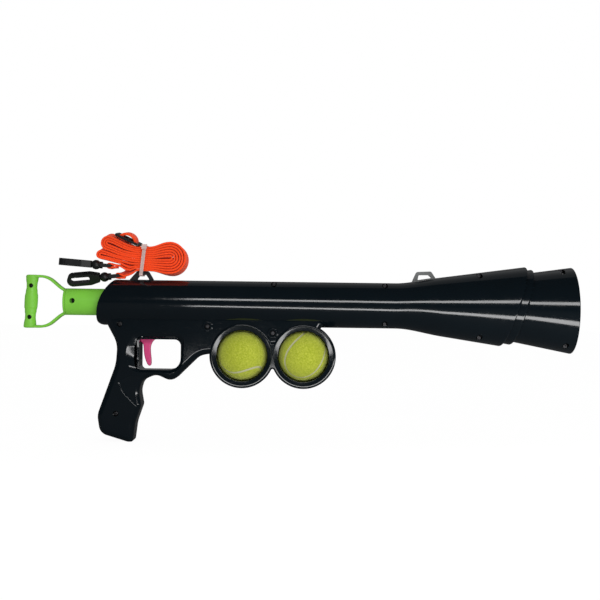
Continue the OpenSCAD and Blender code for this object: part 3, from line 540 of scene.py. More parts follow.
class Carving:
    """A mesh made in boolean steps, which then takes the smooth normals of the forms that made it."""

    def __init__(self, name: str, base: Form) -> None:
        """Starts from one form."""
        self.piece = base.to_object(name)
        self.skins = [SmoothSurface(self.piece.data)]

    def _step(self, cut: Cut, other: Union[Form, "Carving"]) -> "Carving":
        """Takes one boolean step with a form or another carving.

        Args:
            cut: What the step does.
            other: The second form.

        Returns:
            This carving.
        """
        if isinstance(other, Form):
            other = Carving("helper", other)
        modifier = self.piece.modifiers.new("step", "BOOLEAN")
        modifier.operation = cut.value
        modifier.solver = "MANIFOLD"
        modifier.object = other.piece
        settled(self.piece)
        self.skins += other.skins
        dropped(other.piece)
        return self

    def join(self, *others: Union[Form, "Carving"]) -> "Carving":
        """Adds forms."""
        for other in others:
            self._step(Cut.JOIN, other)
        return self

    def remove(self, *others: Union[Form, "Carving"]) -> "Carving":
        """Cuts forms away."""
        for other in others:
            self._step(Cut.REMOVE, other)
        return self

    def keep(self, other: Union[Form, "Carving"]) -> "Carving":
        """Keeps what lies inside a form."""
        return self._step(Cut.KEEP, other)

    def copied(self, name: str) -> "Carving":
        """Another carving of the same state.

        Args:
            name: The copy's name.

        Returns:
            The copy.
        """
        twin = object.__new__(Carving)
        twin.piece = linked(name, self.piece.data.copy())
        twin.skins = list(self.skins)
        return twin

    def parted(self, near_name: str, far_name: str, seam: float) -> tuple["Carving", "Carving"]:
        """Parts the carving along the middle plane.

        Args:
            near_name: Name of the near half.
            far_name: Name of the far half.
            seam: Distance of either half from the middle plane.

        Returns:
            The near and the far half.
        """
        far = self.copied(far_name)
        self.piece.name = near_name
        self.keep(Form.box((-200, -200, -300), (700, -seam, 200)))
        return self, far.keep(Form.box((-200, seam, -300), (700, 200, 200)))

    def finished(self) -> Piece:
        """The mesh with the smooth normals of its source forms.

        Returns:
            The finished piece.
        """
        mesh = self.piece.data
        result = np.empty((len(mesh.loops), 3))
        for polygon in mesh.polygons:
            best: Optional[tuple[float, SmoothSurface, int, float]] = None
            for skin in self.skins:
                _, normal, index, distance = skin.tree.find_nearest(polygon.center, TOUCH)
                if index is None:
                    continue
                facing = polygon.normal.dot(normal)
                if abs(facing) > SAME_WAY and (best is None or distance < best[0]):
                    best = (distance, skin, index, math.copysign(1, facing))
            for corner in polygon.loop_indices:
                if best is None:
                    result[corner] = polygon.normal
                else:
                    point = mesh.vertices[mesh.loops[corner].vertex_index].co
                    result[corner] = best[3] * best[1].normal_at(best[2], point)
        smoothed(mesh, result / np.maximum(np.linalg.norm(result, axis=1, keepdims=True), 1e-12))
        return self.piece


def softened(node: str, name: str, width: float, steps: int = 3) -> Piece:
    """Copies a CAD node with its doubles merged and its edges rounded.

    Args:
        node: The CAD node.
        name: Name of the new piece.
        width: Width of the rounding in millimetres.
        steps: Steps of the rounding.

    Returns:
        The new piece.
    """
    mesh = bpy.data.objects[node].data.copy()
    work = bmesh.new()
    work.from_mesh(mesh)
    bmesh.ops.remove_doubles(work, verts=work.verts, dist=DOUBLES)
    bmesh.ops.dissolve_limit(work, angle_limit=FLAT_LIMIT, verts=work.verts, edges=work.edges)
    work.to_mesh(mesh)
    work.free()
    if mesh.has_custom_normals:
        mesh.attributes.remove(mesh.attributes["custom_normal"])
    piece = linked(name, mesh)
    bevel = piece.modifiers.new("rounding", "BEVEL")
    bevel.width = width * MM
    bevel.segments = steps
    bevel.limit_method = "ANGLE"
    bevel.angle_limit = EDGE_LIMIT
    bevel.miter_outer = "MITER_ARC"
    return shaded(settled(piece))


# --- Node trees ---


def socket_of(sockets: Any, key: Union[int, str]) -> Any:
    """Finds a node's socket by its place, identifier or name.

    Args:
        sockets: A node's inputs or outputs.
        key: Place, identifier or name.

    Returns:
        The socket.
    """
    if isinstance(key, int):
        return sockets[key]
    for found in sockets:
        if found.identifier == key:
            return found
    return next(s for s in sockets if s.name == key and s.enabled)


class Signal:
    """A socket of a node tree on which Python's operators build maths."""

    def __init__(self, tree: "Tree", socket: Any) -> None:
        """Wraps one output socket."""
        self.tree, self.socket = tree, socket

    def _with(self, operation: str, *values: Any) -> "Signal":
        """A Math node of these values."""
        return self.tree.math(operation, *values)

    def __add__(self, other: Any) -> "Signal":
        """This plus other."""
        return self._with("ADD", self, other)

    __radd__ = __add__

    def __sub__(self, other: Any) -> "Signal":
        """This less other."""
        return self._with("SUBTRACT", self, other)

    def __rsub__(self, other: Any) -> "Signal":
        """Other less this."""
        return self._with("SUBTRACT", other, self)

    def __mul__(self, other: Any) -> "Signal":
        """This times other."""
        return self._with("MULTIPLY", self, other)

    __rmul__ = __mul__


class Tree:
    """A node tree with one method that adds any node."""

    math_node = "ShaderNodeMath"

    def __init__(self, tree: bpy.types.NodeTree) -> None:
        """Wraps an empty or cleared tree."""
        self.tree = tree
        tree.nodes.clear()

    def node(self, kind: str, settings: Optional[dict[str, Any]] = None,
             inputs: Inputs = None) -> bpy.types.Node:
        """Adds a node.

        Args:
            kind: The node's type.
            settings: Properties that are set first.
            inputs: Values or signals by socket.

        Returns:
            The node.
        """
        made = self.tree.nodes.new(kind)
        for name, value in (settings or {}).items():
            setattr(made, name, value)
        for key, value in (inputs or {}).items():
            self.feed(socket_of(made.inputs, key), value)
        return made

    def feed(self, socket: Any, value: Any) -> None:
        """Links a signal to a socket or sets its value.

        Args:
            socket: The input.
            value: A signal, a socket, a number, a vector or a colour.
        """
        if isinstance(value, Signal):
            self.tree.links.new(value.socket, socket)
        elif isinstance(value, bpy.types.NodeSocket):
            self.tree.links.new(value, socket)
        elif isinstance(value, tuple) and socket.type == "RGBA":
            socket.default_value = (*value, 1.0)
        else:
            socket.default_value = value

    def signal(self, kind: str, output: Union[int, str], settings: Optional[dict[str, Any]] = None,
               inputs: Inputs = None) -> Signal:
        """Adds a node and returns one of its outputs."""
        return Signal(self, socket_of(self.node(kind, settings, inputs).outputs, output))

    def rays(self) -> list[Signal]:
        """Whether a ray comes from the camera, from a glossy surface or through a clear one."""
        path = self.node("ShaderNodeLightPath")
        return [Signal(self, socket_of(path.outputs, f"Is {kind} Ray"))
                for kind in ("Camera", "Glossy", "Transmission")]

    def math(self, operation: str, *values: Any, clamp: bool = False) -> Signal:
        """A Math node of signals and numbers."""
        return self.signal(self.math_node, 0, {"operation": operation, "use_clamp": clamp},
                           dict(enumerate(values)))


class Shader(Tree):
    """A material's node tree with the textures that the finishes share."""

    def __init__(self, name: str) -> None:
        """Starts a material."""
        self.material = bpy.data.materials.new(name)
        self.material.use_nodes = True
        super().__init__(self.material.node_tree)
        self.place = self.signal("ShaderNodeTexCoord", "Object")

    def noise(self, scale: float, detail: float = 2.0, stretch: Optional[Sequence[float]] = None,
              rough: float = 0.5) -> Signal:
        """Noise over the object's own coordinates.

        Args:
            scale: Cells to the metre.
            detail: Octaves.
            stretch: Scale along each axis.
            rough: Weight of the finer octaves.

        Returns:
            A signal from 0 to 1.
        """
        where = self.place if stretch is None else self.signal(
            "ShaderNodeMapping", 0, None, {"Vector": self.place, "Scale": tuple(stretch)})
        return self.signal("ShaderNodeTexNoise", "Fac", None,
                           {"Vector": where, "Scale": scale, "Detail": detail, "Roughness": rough})

    def between(self, value: Signal, low: float, high: float) -> Signal:
        """A smooth rise from 0 to 1 between two values."""
        return self.signal("ShaderNodeMapRange", 0, {"interpolation_type": "SMOOTHSTEP"},
                           {"Value": value, "From Min": low, "From Max": high})

    def mixed(self, factor: Any, first: Any, second: Any) -> Signal:
        """Two colours mixed."""
        return self.signal("ShaderNodeMix", "Result_Color", {"data_type": "RGBA"},
                           {"Factor_Float": factor, "A_Color": first, "B_Color": second})

    def bump(self, height: Signal, depth: float, under: Optional[Signal] = None) -> Signal:
        """A bumped normal.

        Args:
            height: Height from 0 to 1.
            depth: What height 1 is in millimetres.
            under: A bumped normal that this one lies on.

        Returns:
            The normal.
        """
        inputs: dict[Union[int, str], Any] = {"Height": height, "Distance": depth * MM, "Strength": 1.0}
        if under is not None:
            inputs["Normal"] = under
        return self.signal("ShaderNodeBump", "Normal", None, inputs)

    def attribute(self, name: str) -> Signal:
        """A number that the mesh carries."""
        return self.signal("ShaderNodeAttribute", "Fac", {"attribute_name": name})

    def surface(self, **inputs: Any) -> bpy.types.Material:
        """Ends the tree in one shader with these inputs, written with _ for a space.

        Args:
            inputs: The shader's inputs.

        Returns:
            The material.
        """
        shader = self.node("ShaderNodeBsdfPrincipled", None,
                           {key.replace("_", " "): value for key, value in inputs.items()})
        self.node("ShaderNodeOutputMaterial", None, {"Surface": shader.outputs[0]})
        return self.material


class Growth(Tree):
    """A Geometry Nodes tree with named inputs, for what repeats or follows a rule."""

    kinds = {float: "NodeSocketFloat", int: "NodeSocketInt", Piece: "NodeSocketObject"}

    def __init__(self, name: str, **sizes: Any) -> None:
        """Starts a tree with one input for each size.

        Args:
            name: The tree's name.
            sizes: The inputs and their values.
        """
        group = bpy.data.node_groups.new(name, "GeometryNodeTree")
        super().__init__(group)
        group.interface.new_socket("Geometry", in_out="INPUT", socket_type="NodeSocketGeometry")
        group.interface.new_socket("Geometry", in_out="OUTPUT", socket_type="NodeSocketGeometry")
        for key, value in sizes.items():
            group.interface.new_socket(key, in_out="INPUT", socket_type=self.kinds[type(value)])
        self.sizes = sizes
        start = group.nodes.new("NodeGroupInput")
        self.base = Signal(self, start.outputs[0])
        self.size = {key: Signal(self, start.outputs[1 + i]) for i, key in enumerate(sizes)}

    def vector(self, x: Any, y: Any, z: Any) -> Signal:
        """Three numbers as a vector."""
        return self.signal("ShaderNodeCombineXYZ", 0, None, {0: x, 1: y, 2: z})

    def grown(self, piece: Piece, geometry: Signal, finish: "Finish") -> Piece:
        """Ends the tree and turns what it grows on a piece into a plain mesh.

        Args:
            piece: The piece whose mesh the tree starts from.
            geometry: What the tree makes.
            finish: The finish of what it makes.

        Returns:
            The piece.
        """
        whole = self.signal("GeometryNodeRealizeInstances", 0, None, {0: geometry})
        whole = self.signal("GeometryNodeSetMaterial", 0, None, {0: whole, "Material": finish.material()})
        self.feed(self.tree.nodes.new("NodeGroupOutput").inputs[0], whole)
        modifier = piece.modifiers.new(self.tree.name, "NODES")
        modifier.node_group = self.tree
        for item in self.tree.interface.items_tree:
            if item.in_out == "INPUT" and item.name in self.sizes:
                modifier[item.identifier] = self.sizes[item.name]
        return settled(piece)


# --- Finishes ---


@dataclass(frozen=True)
class Finish(ABC):
    """A surface finish, with the record's slot that it stands for."""

    name: str
    slot: str

    @abstractmethod
    def build(self) -> bpy.types.Material:
        """Makes the material."""

    def material(self) -> bpy.types.Material:
        """The material, made on first use."""
        return bpy.data.materials.get(self.name) or self.build()


def shade(colour: Colour, factor: Any) -> Colour:
    """A colour times one factor, or times one for each channel."""
    return tuple(float(c) for c in np.multiply(colour, factor))


@dataclass(frozen=True)
class MouldedPlastic(Finish):
    """Injection-moulded plastic with slight waves, smudges and fine scratches."""

    colour: Colour = (0.01, 0.01, 0.01)
    rough: float = 0.2
    smudge: float = 0.06
    waves: float = 0.02
    grain: float = 0.0
    level: float = 0.5

    def build(self) -> bpy.types.Material:
        """Makes the material.

        Returns:
            The material.
        """
        s = Shader(self.name)
        cloud = s.noise(38, 3)
        tint = s.mixed(cloud, shade(self.colour, 0.86), shade(self.colour, 1.14))
        scratch = s.between(s.noise(900, 2, (0.05, 1.0, 1.0), 0.6), 0.64, 0.74)
        rough = self.rough + self.smudge * s.between(s.noise(60, 4, None, 0.6), 0.42, 0.72) + 0.1 * scratch
        normal = s.bump(s.noise(26, 1), self.waves * 6)
        normal = s.bump(s.noise(260, 2), self.waves * 0.35, normal)
        if self.grain:
            normal = s.bump(s.noise(2600, 2), self.grain, normal)
        return s.surface(Base_Color=tint, Roughness=rough, Normal=normal, Specular_IOR_Level=self.level)


@dataclass(frozen=True)
class Metal(Finish):
    """Turned or plated metal."""

    colour: Colour = (0.55, 0.56, 0.58)
    rough: float = 0.28

    def build(self) -> bpy.types.Material:
        """Makes the material.

        Returns:
            The material.
        """
        s = Shader(self.name)
        cloud = s.noise(220, 3)
        tint = s.mixed(cloud, shade(self.colour, 0.75), self.colour)
        return s.surface(Base_Color=tint, Metallic=1.0, Roughness=self.rough + 0.18 * cloud,
                         Normal=s.bump(s.noise(3000, 2, (0.1, 1, 1)), 0.004))


@dataclass(frozen=True)
class Rubber(Finish):
    """Matt black rubber or foam."""

    colour: Colour = (0.012, 0.012, 0.013)

    def build(self) -> bpy.types.Material:
        """Makes the material.

        Returns:
            The material.
        """
        s = Shader(self.name)
        cloud = s.noise(420, 3)
        tint = s.mixed(cloud, shade(self.colour, 0.7), shade(self.colour, 1.4))
        return s.surface(Base_Color=tint, Roughness=0.62 + 0.2 * cloud, Normal=s.bump(cloud, 0.05))


@dataclass(frozen=True)
class ClearNylon(Finish):
    """Milky nylon of a cable tie, tinted pink: painted light of the orange webbing that shows through it."""

    # The pink in this colour is painted light from the orange webbing under the clear nylon.
    colour: Colour = (0.90, 0.68, 0.64)

    def build(self) -> bpy.types.Material:
        """Makes the material.

        Returns:
            The material.
        """
        s = Shader(self.name)
        cloud = s.noise(160, 3)
        tint = s.mixed(cloud, shade(self.colour, 0.92), self.colour)
        return s.surface(Base_Color=tint, Roughness=0.3 + 0.15 * cloud, Transmission_Weight=0.45,
                         IOR=1.5, Normal=s.bump(s.noise(700, 2), 0.02))


@dataclass(frozen=True)
class Felt(Finish):
    """Woollen felt of a ball: the mesh's seam value turns it into the pale rubber seam."""

    colour: Colour = (0.38, 0.44, 0.019)
    pale: Colour = (0.456, 0.4928, 0.059)
    seam_colour: Colour = (0.42, 0.42, 0.25)

    def build(self) -> bpy.types.Material:
        """Makes the material.

        Returns:
            The material.
        """
        s = Shader(self.name)
        curl, tuft = s.noise(520, 4, None, 0.65), s.noise(1500, 3, None, 0.7)
        dark = shade(self.colour, (0.62, 0.66, 0.5))
        felt = s.mixed(s.between(curl * 0.55 + tuft * 0.45, 0.36, 0.64), dark, self.pale)
        felt = s.mixed(s.between(s.noise(34, 3), 0.35, 0.75) * 0.35, felt, shade(self.colour, 0.72))
        seam = s.between(s.attribute("seam"), 0.35, 0.75)
        normal = s.bump(curl * (1 - seam), 0.7)
        normal = s.bump(tuft * (1 - seam * 0.8), 0.35, normal)
        return s.surface(Base_Color=s.mixed(seam, felt, self.seam_colour), Roughness=0.95 - 0.35 * seam,
                         Normal=normal, Sheen_Weight=1.0, Sheen_Roughness=0.45, Sheen_Tint=(0.9, 1.0, 0.25),
                         Specular_IOR_Level=0.15)


@dataclass(frozen=True)
class Webbing(Finish):
    """Woven strap: the weave follows the strap's own UV map, in millimetres."""

    colour: Colour = (0.985, 0.074, 0.0105)
    rib: float = 1.15
    cord: float = 1.6

    def build(self) -> bpy.types.Material:
        """Makes the material.

        Returns:
            The material.
        """
        s = Shader(self.name)
        uv = s.signal("ShaderNodeUVMap", 0, {"uv_map": "weave"})
        parts = s.node("ShaderNodeSeparateXYZ", None, {0: uv})
        along, across = Signal(s, parts.outputs[0]), Signal(s, parts.outputs[1])
        column = s.math("SINE", across * (2 * math.pi / self.cord))
        row = s.math("SINE", along * (2 * math.pi / self.rib) + column * 1.3)
        thread = s.math("ABSOLUTE", row) * 0.6 + s.math("ABSOLUTE", column) * 0.4
        fibre = s.noise(1800, 2)
        # The grooves between the threads are painted darker than the raised threads: painted shade in the
        # weave.
        dark = shade(self.colour, (0.78, 0.62, 0.7))
        tint = s.mixed(s.between(thread * 0.8 + fibre * 0.2, 0.15, 0.6), dark, self.colour)
        tint = s.mixed(s.between(s.noise(30, 2), 0.4, 0.8) * 0.25, tint, shade(self.colour, 0.7))
        normal = s.bump(thread, 0.2)
        return s.surface(Base_Color=tint, Roughness=0.72 - 0.15 * thread, Normal=s.bump(fibre, 0.06, normal),
                         Sheen_Weight=0.1, Sheen_Roughness=0.4, Specular_IOR_Level=0.15)


BODY = MouldedPlastic("blue_black_plastic", "body_plastic", (0.0024, 0.0047, 0.0067), 0.09, 0.04, 0.02)
GREEN = MouldedPlastic("lime_plastic", "handle_plastic", (0.185, 0.545, 0.045), 0.34, 0.1, 0.03, 0.01, 0.4)
PINK = MouldedPlastic("pink_plastic", "trigger_plastic", (0.630, 0.040, 0.185), 0.3, 0.1, 0.03)
INNER = MouldedPlastic("dark_inner_plastic", "inner_plastic", (0.010, 0.012, 0.015), 0.35, 0.1, 0.02)
LOOP = MouldedPlastic("satin_dark_plastic", "loop_plastic", (0.012, 0.013, 0.015), 0.3, 0.1, 0.03, 0.01)
# A paler copy of the dark loop plastic: its grey is a painted highlight that stands in for the shine on the
# front loop's faces.
HIGHLIT_LOOP_PLASTIC = MouldedPlastic("grey_loop_plastic", "loop_plastic", (0.12, 0.125, 0.125), 0.22, 0.1, 0.03, 0.0, 0.6)
HOOK = MouldedPlastic("black_hook_plastic", "hook_plastic", (0.008, 0.009, 0.010), 0.36, 0.1, 0.03, 0.012)
TIE = ClearNylon("milky_nylon", "tie_plastic")
FELT = Felt("yellow_felt", "ball_felt")
STRAP = Webbing("orange_webbing", "webbing")
RUBBER = Rubber("black_rubber", "rubber")
STEEL = Metal("bright_steel", "steel")
# The screws' steel is darkened far below the bright steel: painted shade, so that the heads read as dark
# holes in their recesses.
SHADED_SCREW_STEEL = Metal("dark_screw_steel", "steel", (0.07, 0.07, 0.075), 0.3)


def dress(piece: Piece, finish: Finish, body: str, replaces: Sequence[str] = ()) -> Piece:
    """Gives a piece its finish and its body, and hides the CAD nodes that it stands for.

    Args:
        piece: The new piece.
        finish: Its finish.
        body: The CAD body that it rides on.
        replaces: CAD nodes that it stands for.

    Returns:
        The piece.
    """
    piece.data.materials.clear()
    piece.data.materials.append(finish.material())
    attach(piece, body)
    if replaces:
        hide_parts(*replaces)
    LOG.info("%s: %d faces, rides on %s", piece.name, len(piece.data.polygons), body)
    return piece


def repaint(nodes: Iterable[str], finish: Finish) -> None:
    """Gives CAD nodes that stay in view a better material.

    Args:
        nodes: The CAD nodes.
        finish: Their finish.
    """
    for node in nodes:
        for slot in bpy.data.objects[node].material_slots:
            slot.material = finish.material()
        LOG.info("%s keeps its CAD mesh", node)


def droop(x: Any) -> Any:
    """How far the flare and the muzzle hang below the barrel's axis, in millimetres."""
    return -sum(fall * smoothstep(x, low, high) for fall, low, high in DROOPS)


def drooped(piece: Piece) -> Piece:
    """Lowers a piece of the barrel by the droop of its front.

    Args:
        piece: A piece of the barrel.

    Returns:
        The same piece.
    """
    mesh = piece.data
    points = points_of(mesh)
    points[:, 2] += droop(points[:, 0] / MM + GRIP_AT[0]) * MM
    normals = np.empty(len(mesh.loops) * 3)
    mesh.corner_normals.foreach_get("vector", normals)
    mesh.vertices.foreach_set("co", points.ravel())
    mesh.update()
    mesh.normals_split_custom_set(normals.reshape(-1, 3).tolist())
    return piece


# --- Small repeated pieces ---


@dataclass
class Screws:
    """Pan-head screws with a cross recess, driven from the near side, in steel painted dark with the shade of
    their recesses.
    """

    head_r: float = 3.1
    head_t: float = 2.1
    shank_r: float = 1.5
    shank_l: float = 11.0
    turn: int = 7

    def pattern(self) -> Piece:
        """One screw at the origin, its head towards the near side.

        Returns:
            The screw.
        """
        centre = (GRIP_AT[0], GRIP_AT[2])
        dome = [(self.head_r - 1.3 * (1 - math.cos(a)), -self.head_t + 1.3 - 1.3 * math.sin(a))
                for a in np.radians((0, 20, 40, 60, 80, 90))]
        head = Form.turned_y(centre, [(self.shank_r, self.shank_l), (self.shank_r, 0), (self.head_r, 0)]
                             + dome, 32)
        screw = Carving("screw_pattern", head)
        for turn in (0, 1):
            long, thin = (1.9, 0.36) if turn else (0.36, 1.9)
            screw.remove(Form.box((centre[0] - long, -self.head_t - 1, centre[1] - thin),
                                  (centre[0] + long, -self.head_t + 1.3, centre[1] + thin)))
        return screw.finished()
    # The front loop takes the paler copy of the loop plastic, whose grey is a painted highlight.

    def build(self, name: str, seats: Sequence[Sequence[float]], body: str, node: str) -> None:
        """Sets a screw on each seat.

        Args:
            name: The new piece's name.
            seats: Where the heads rest, in barrel millimetres.
            body: The CAD body that they ride on.
            node: The CAD node that they stand for.
        """
        pattern = self.pattern()
        growth = Growth("screw_rows", Screw=pattern, Turn=0.8, Seed=self.turn)
        spin = growth.signal("FunctionNodeRandomValue", "Value_001", {"data_type": "FLOAT"}, {
            "Min_001": growth.size["Turn"] * -1, "Max_001": growth.size["Turn"], "Seed": growth.size["Seed"]})
        screw = growth.signal("GeometryNodeObjectInfo", "Geometry", None, {"Object": growth.size["Screw"]})
        points = growth.signal("GeometryNodeMeshToPoints", 0, None, {"Mesh": growth.base})
        rows = growth.signal("GeometryNodeInstanceOnPoints", 0, None, {
            "Points": points, "Instance": screw, "Rotation": growth.vector(0.0, spin, 0.0)})
        mesh = bpy.data.meshes.new(name)
        mesh.from_pydata([tuple(placed([x, y, z + droop(x)])) for x, y, z in seats], [], [])
        piece = growth.grown(linked(name, mesh), rows, SHADED_SCREW_STEEL)
        dropped(pattern)
        dress(piece, SHADED_SCREW_STEEL, body, [node])


@dataclass
class Coil:
    """A wound spring with closed ends."""

    name: str
    node: str
    joint: str
    radius: float
    wire: float
    length: float
    turns: float
    closed: float
    start: Triple
    along: str
    keep: float

    def build(self) -> None:
        """Winds the spring and places it."""
        growth = Growth(self.name, Radius=self.radius * MM, Wire=self.wire * MM, Length=self.length * MM,
                        Turns=float(self.turns), Closed=float(self.closed))
        size = growth.size
        line = growth.signal("GeometryNodeCurvePrimitiveLine", 0)
        line = growth.signal("GeometryNodeResampleCurve", 0, None, {
            "Curve": line, "Count": int(self.turns * 26)})
        turn = growth.signal("GeometryNodeSplineParameter", "Factor") * size["Turns"]
        dead = size["Closed"] * size["Wire"] * 1.1

        def rise(low: Any, high: Any, height: Any) -> Signal:
            """Height gained between two turns."""
            return growth.signal("ShaderNodeMapRange", 0, {"clamp": True}, {
                "Value": turn, "From Min": low, "From Max": high, "To Min": 0.0, "To Max": height})

        open_end = size["Turns"] - size["Closed"]
        height = (size["Wire"] * 0.5 + rise(0.0, size["Closed"], dead)
                  + rise(size["Closed"], open_end, size["Length"] - size["Wire"] - dead * 2)
                  + rise(open_end, size["Turns"], dead))
        angle = turn * (2 * math.pi)
        place = growth.vector(growth.math("COSINE", angle) * size["Radius"],
                              growth.math("SINE", angle) * size["Radius"], height)
        line = growth.signal("GeometryNodeSetPosition", 0, None, {"Geometry": line, "Position": place})
        wire = growth.signal("GeometryNodeCurvePrimitiveCircle", 0, None, {
            "Resolution": 10, "Radius": size["Wire"] * 0.5})
        coil = growth.signal("GeometryNodeCurveToMesh", 0, None, {
            "Curve": line, "Profile Curve": wire, "Fill Caps": True})
        piece = growth.grown(linked(self.name, bpy.data.meshes.new(self.name)), coil, STEEL)
        turned_to = Matrix.Rotation(math.radians(90), 4, "Y") if self.along == "X" else Matrix()
        piece.data.transform(Matrix.Translation(at(*self.start)) @ turned_to)
        outwards(piece.data)
        dress(shaded(piece), STEEL, "body", [self.node])
        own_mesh(piece)


# --- Body ---


@dataclass
class Body:
    """Both moulded half shells: barrel, flare, muzzle, grip, guard and ball rings."""

    barrel_r: float = 29.0
    wall: float = 2.6
    length: float = 606.0
    flare_x: float = 381.0
    blend_x: float = 439.0
    flare_slope: float = math.tan(math.radians(8.4))
    muzzle_r: float = 55.1
    muzzle_slope: float = math.tan(math.radians(9.4))
    step_x: float = 532.0
    leans: Pair = (math.tan(math.radians(17.2)), math.tan(math.radians(15.4)))
    step_h: float = 4.2
    step_soft: float = 3.0
    band_w: float = 10.8
    chamber_r: float = 34.9
    rear_r: float = 70.8
    rear_centre: Pair = (74.2, -20.0)
    rear_round: float = 7.0
    panel_half: float = 19.8
    edge_r: float = 7.5
    foot: Pair = (3.0, -178.0)
    grip_w: float = 47.6
    window: tuple[float, float, float, float] = (57.5, 109.9, -84.8, -46.2)
    ring_x: Pair = (187.4, 265.2)
    ring_z: float = -65.4
    ring_r: float = 41.0
    ring_bore: float = 32.25
    ring_half: float = 21.0
    notch_r: float = 2.0
    mouth_flare: float = 5.3
    mouth: Pairs = ((0.25, 1.2), (0.7, 0.9), (5.3, 0.22), (5.5, 0.0), (5.7, -2.0))
    stop_lip: float = 1.9
    dish_steps: Pairs = (
        (0.0, -1.2), (0.0, 0.0), (0.18, 0.9), (0.4, 1.9), (0.65, 2.9), (0.86, 3.6), (1.0, 4.0))
    relief_steps: Pairs = (
        (0.0, -3.0), (0.0, 0.0), (0.03, 0.3), (0.09, 0.55), (0.3, 0.65))
    tube_way_r: float = 17.5
    trigger_slot: float = 4.1
    loop_slots: Pairs = ((42.3, 73.1), (402.9, 433.1))
    loop_slot_half: float = 2.6
    boss_r: float = 4.2
    counterbore_r: float = 3.6
    through: float = 30.0
    seam: float = 0.05
    segments: int = 288
    pads: Pairs = ((143.4, -29.0), (226.1, -36.4))
    flat_screws: Pairs = ((32.7, -27.2), (29.2, -140.5), (143.4, -29.0), (226.1, -36.4))
    curved_screws: Pairs = (
        (226.7, 25.6), (367.6, 25.4), (367.6, -23.2), (486.6, 40.6), (486.4, -37.4), (591.0, 49.2),
        (594.0, -44.2))
    blend: list[np.ndarray] = field(init=False)

    def __post_init__(self) -> None:
        """Lays the curve between barrel and flare."""
        span = self.blend_x - self.flare_x
        knee = self.blend_x - 0.41 * span
        self.blend = [bezier([
            (self.flare_x, self.barrel_r), (self.flare_x + 0.33 * span, self.barrel_r),
            (knee, self.flare_line(knee)), (self.blend_x, self.flare_line(self.blend_x))], k / 40)
            for k in range(41)]

    def muzzle_at(self, x: Any) -> Any:
        """Radius of the muzzle cone."""
        return self.muzzle_r - (self.length - x) * self.muzzle_slope

    def liner_at(self, x: float) -> float:
        """Radius of the funnel's outside, just inside the muzzle."""
        return float(self.muzzle_at(x)) - self.wall - 0.15

    def flare_line(self, x: Any) -> Any:
        """Radius of the flare's straight cone."""
        return self.muzzle_at(self.step_x) + 2 * self.step_h + (x - self.step_x) * self.flare_slope

    def radius_at(self, x: float) -> float:
        """Outer radius of the body at a distance from the rear end.

        Args:
            x: Distance from the rear end.

        Returns:
            The radius.
        """
        if x < self.flare_x:
            return self.barrel_r
        if x < self.blend_x:
            return float(np.interp(x, [p[0] for p in self.blend], [p[1] for p in self.blend]))
        return float(self.flare_line(x) if x < self.step_x else self.muzzle_at(x))

    def rear_at(self, z: np.ndarray, inset: float) -> np.ndarray:
        """Where the curved rear end lies at a height.

        Args:
            z: Heights.
            inset: Distance inside the outer skin.

        Returns:
            The distance from the rear end at each height.
        """
        cx, cz = self.rear_centre
        big, low = self.rear_r - inset, -self.barrel_r + inset
        arc = cx - np.sqrt(np.maximum(big**2 - (z - cz) ** 2, 0))
        small = self.rear_round
        round_z = low + small
        round_x = cx - math.sqrt((big - small) ** 2 - (round_z - cz) ** 2)
        under = round_x - np.sqrt(np.maximum(small**2 - (z - round_z) ** 2, 0))
        return np.where(z < round_z, under, arc)

    def barrel(self, inset: float, past: float = 0.0) -> Form:
        """Barrel, flare, band and muzzle as one skin.

        Args:
            inset: Distance inside the outer skin.
            past: How far the muzzle runs past the rim.

        Returns:
            The closed form.
        """
        turn = np.linspace(0, 2 * math.pi, self.segments, endpoint=False)
        sine, cosine = np.sin(turn), np.cos(turn)
        rings: list[np.ndarray] = []

        def ring(x: Any, r: Any) -> None:
            """Adds a ring of points."""
            x, r = np.broadcast_to(x, turn.shape), np.broadcast_to(r, turn.shape)
            rings.append(np.stack([x, r * cosine, r * sine], 1))

        radius = self.barrel_r - inset
        edge = max(1.5 - inset, 0.2)
        for share in (0.2, 0.45, 0.62, 0.75, 0.86):
            ring(self.rear_at(share * radius * sine, inset), share * radius)
        for angle in np.radians((0, 15, 30, 45, 60, 75, 90)):
            r = radius - edge * (1 - math.sin(angle))
            ring(self.rear_at(r * sine, inset) + edge * (1 - math.cos(angle)), r)
        ring(60.0, radius)
        for x, r in self.blend:
            ring(x, r - inset)

        def step(x0: float, lean: float, line: float, below: float, below_slope: float) -> None:
            """Adds one slanted step: the rounded outer edge, the face and its foot.

            Args:
                x0: Where the step crosses the axis.
                lean: Its slope.
                line: Radius of the cone it falls from.
                below: Radius of the cone it falls to.
                below_slope: Slope of that cone.
            """
            soft = max(self.step_soft - inset, 0.15)
            slope = self.flare_slope
            outer = line / (1 - slope * sine * lean)
            for angle in np.radians(range(0, 91, 10)):
                r = outer - soft * (1 - math.cos(angle)) - slope * soft * (1 - math.sin(angle))
                ring(x0 + r * sine * lean - soft * (1 - math.sin(angle)), r)
            foot = below / (1 - below_slope * sine * lean)
            for lift in (0.9, 0.4, 0.1):
                ring(x0 + (foot + lift) * sine * lean + (0.9 - lift) * 0.3 * (not inset), foot + lift)
            ring(x0 + foot * sine * lean + (0.8 if not inset else 0.0), foot + 0.02)

        first, second = self.step_x - inset, self.step_x + self.band_w - inset
        step(first, self.leans[0], self.flare_line(first) - inset,
             self.flare_line(first) - self.step_h - inset, self.flare_slope)
        step(second, self.leans[1], self.flare_line(second) - self.step_h - inset,
             self.muzzle_at(second) - inset, self.muzzle_slope)
        rim = self.length + past
        edge = 0.15 if inset else 1.1
        for angle in np.radians((0, 22.5, 45, 67.5, 90)):
            fall = edge * (1 - math.cos(angle)) + self.muzzle_slope * edge * (1 - math.sin(angle))
            ring(rim - edge * (1 - math.sin(angle)), self.muzzle_at(rim) - inset - fall)
        ring(rim, (self.muzzle_at(rim) - inset) * 0.8)
        return Form.from_rings(rings)

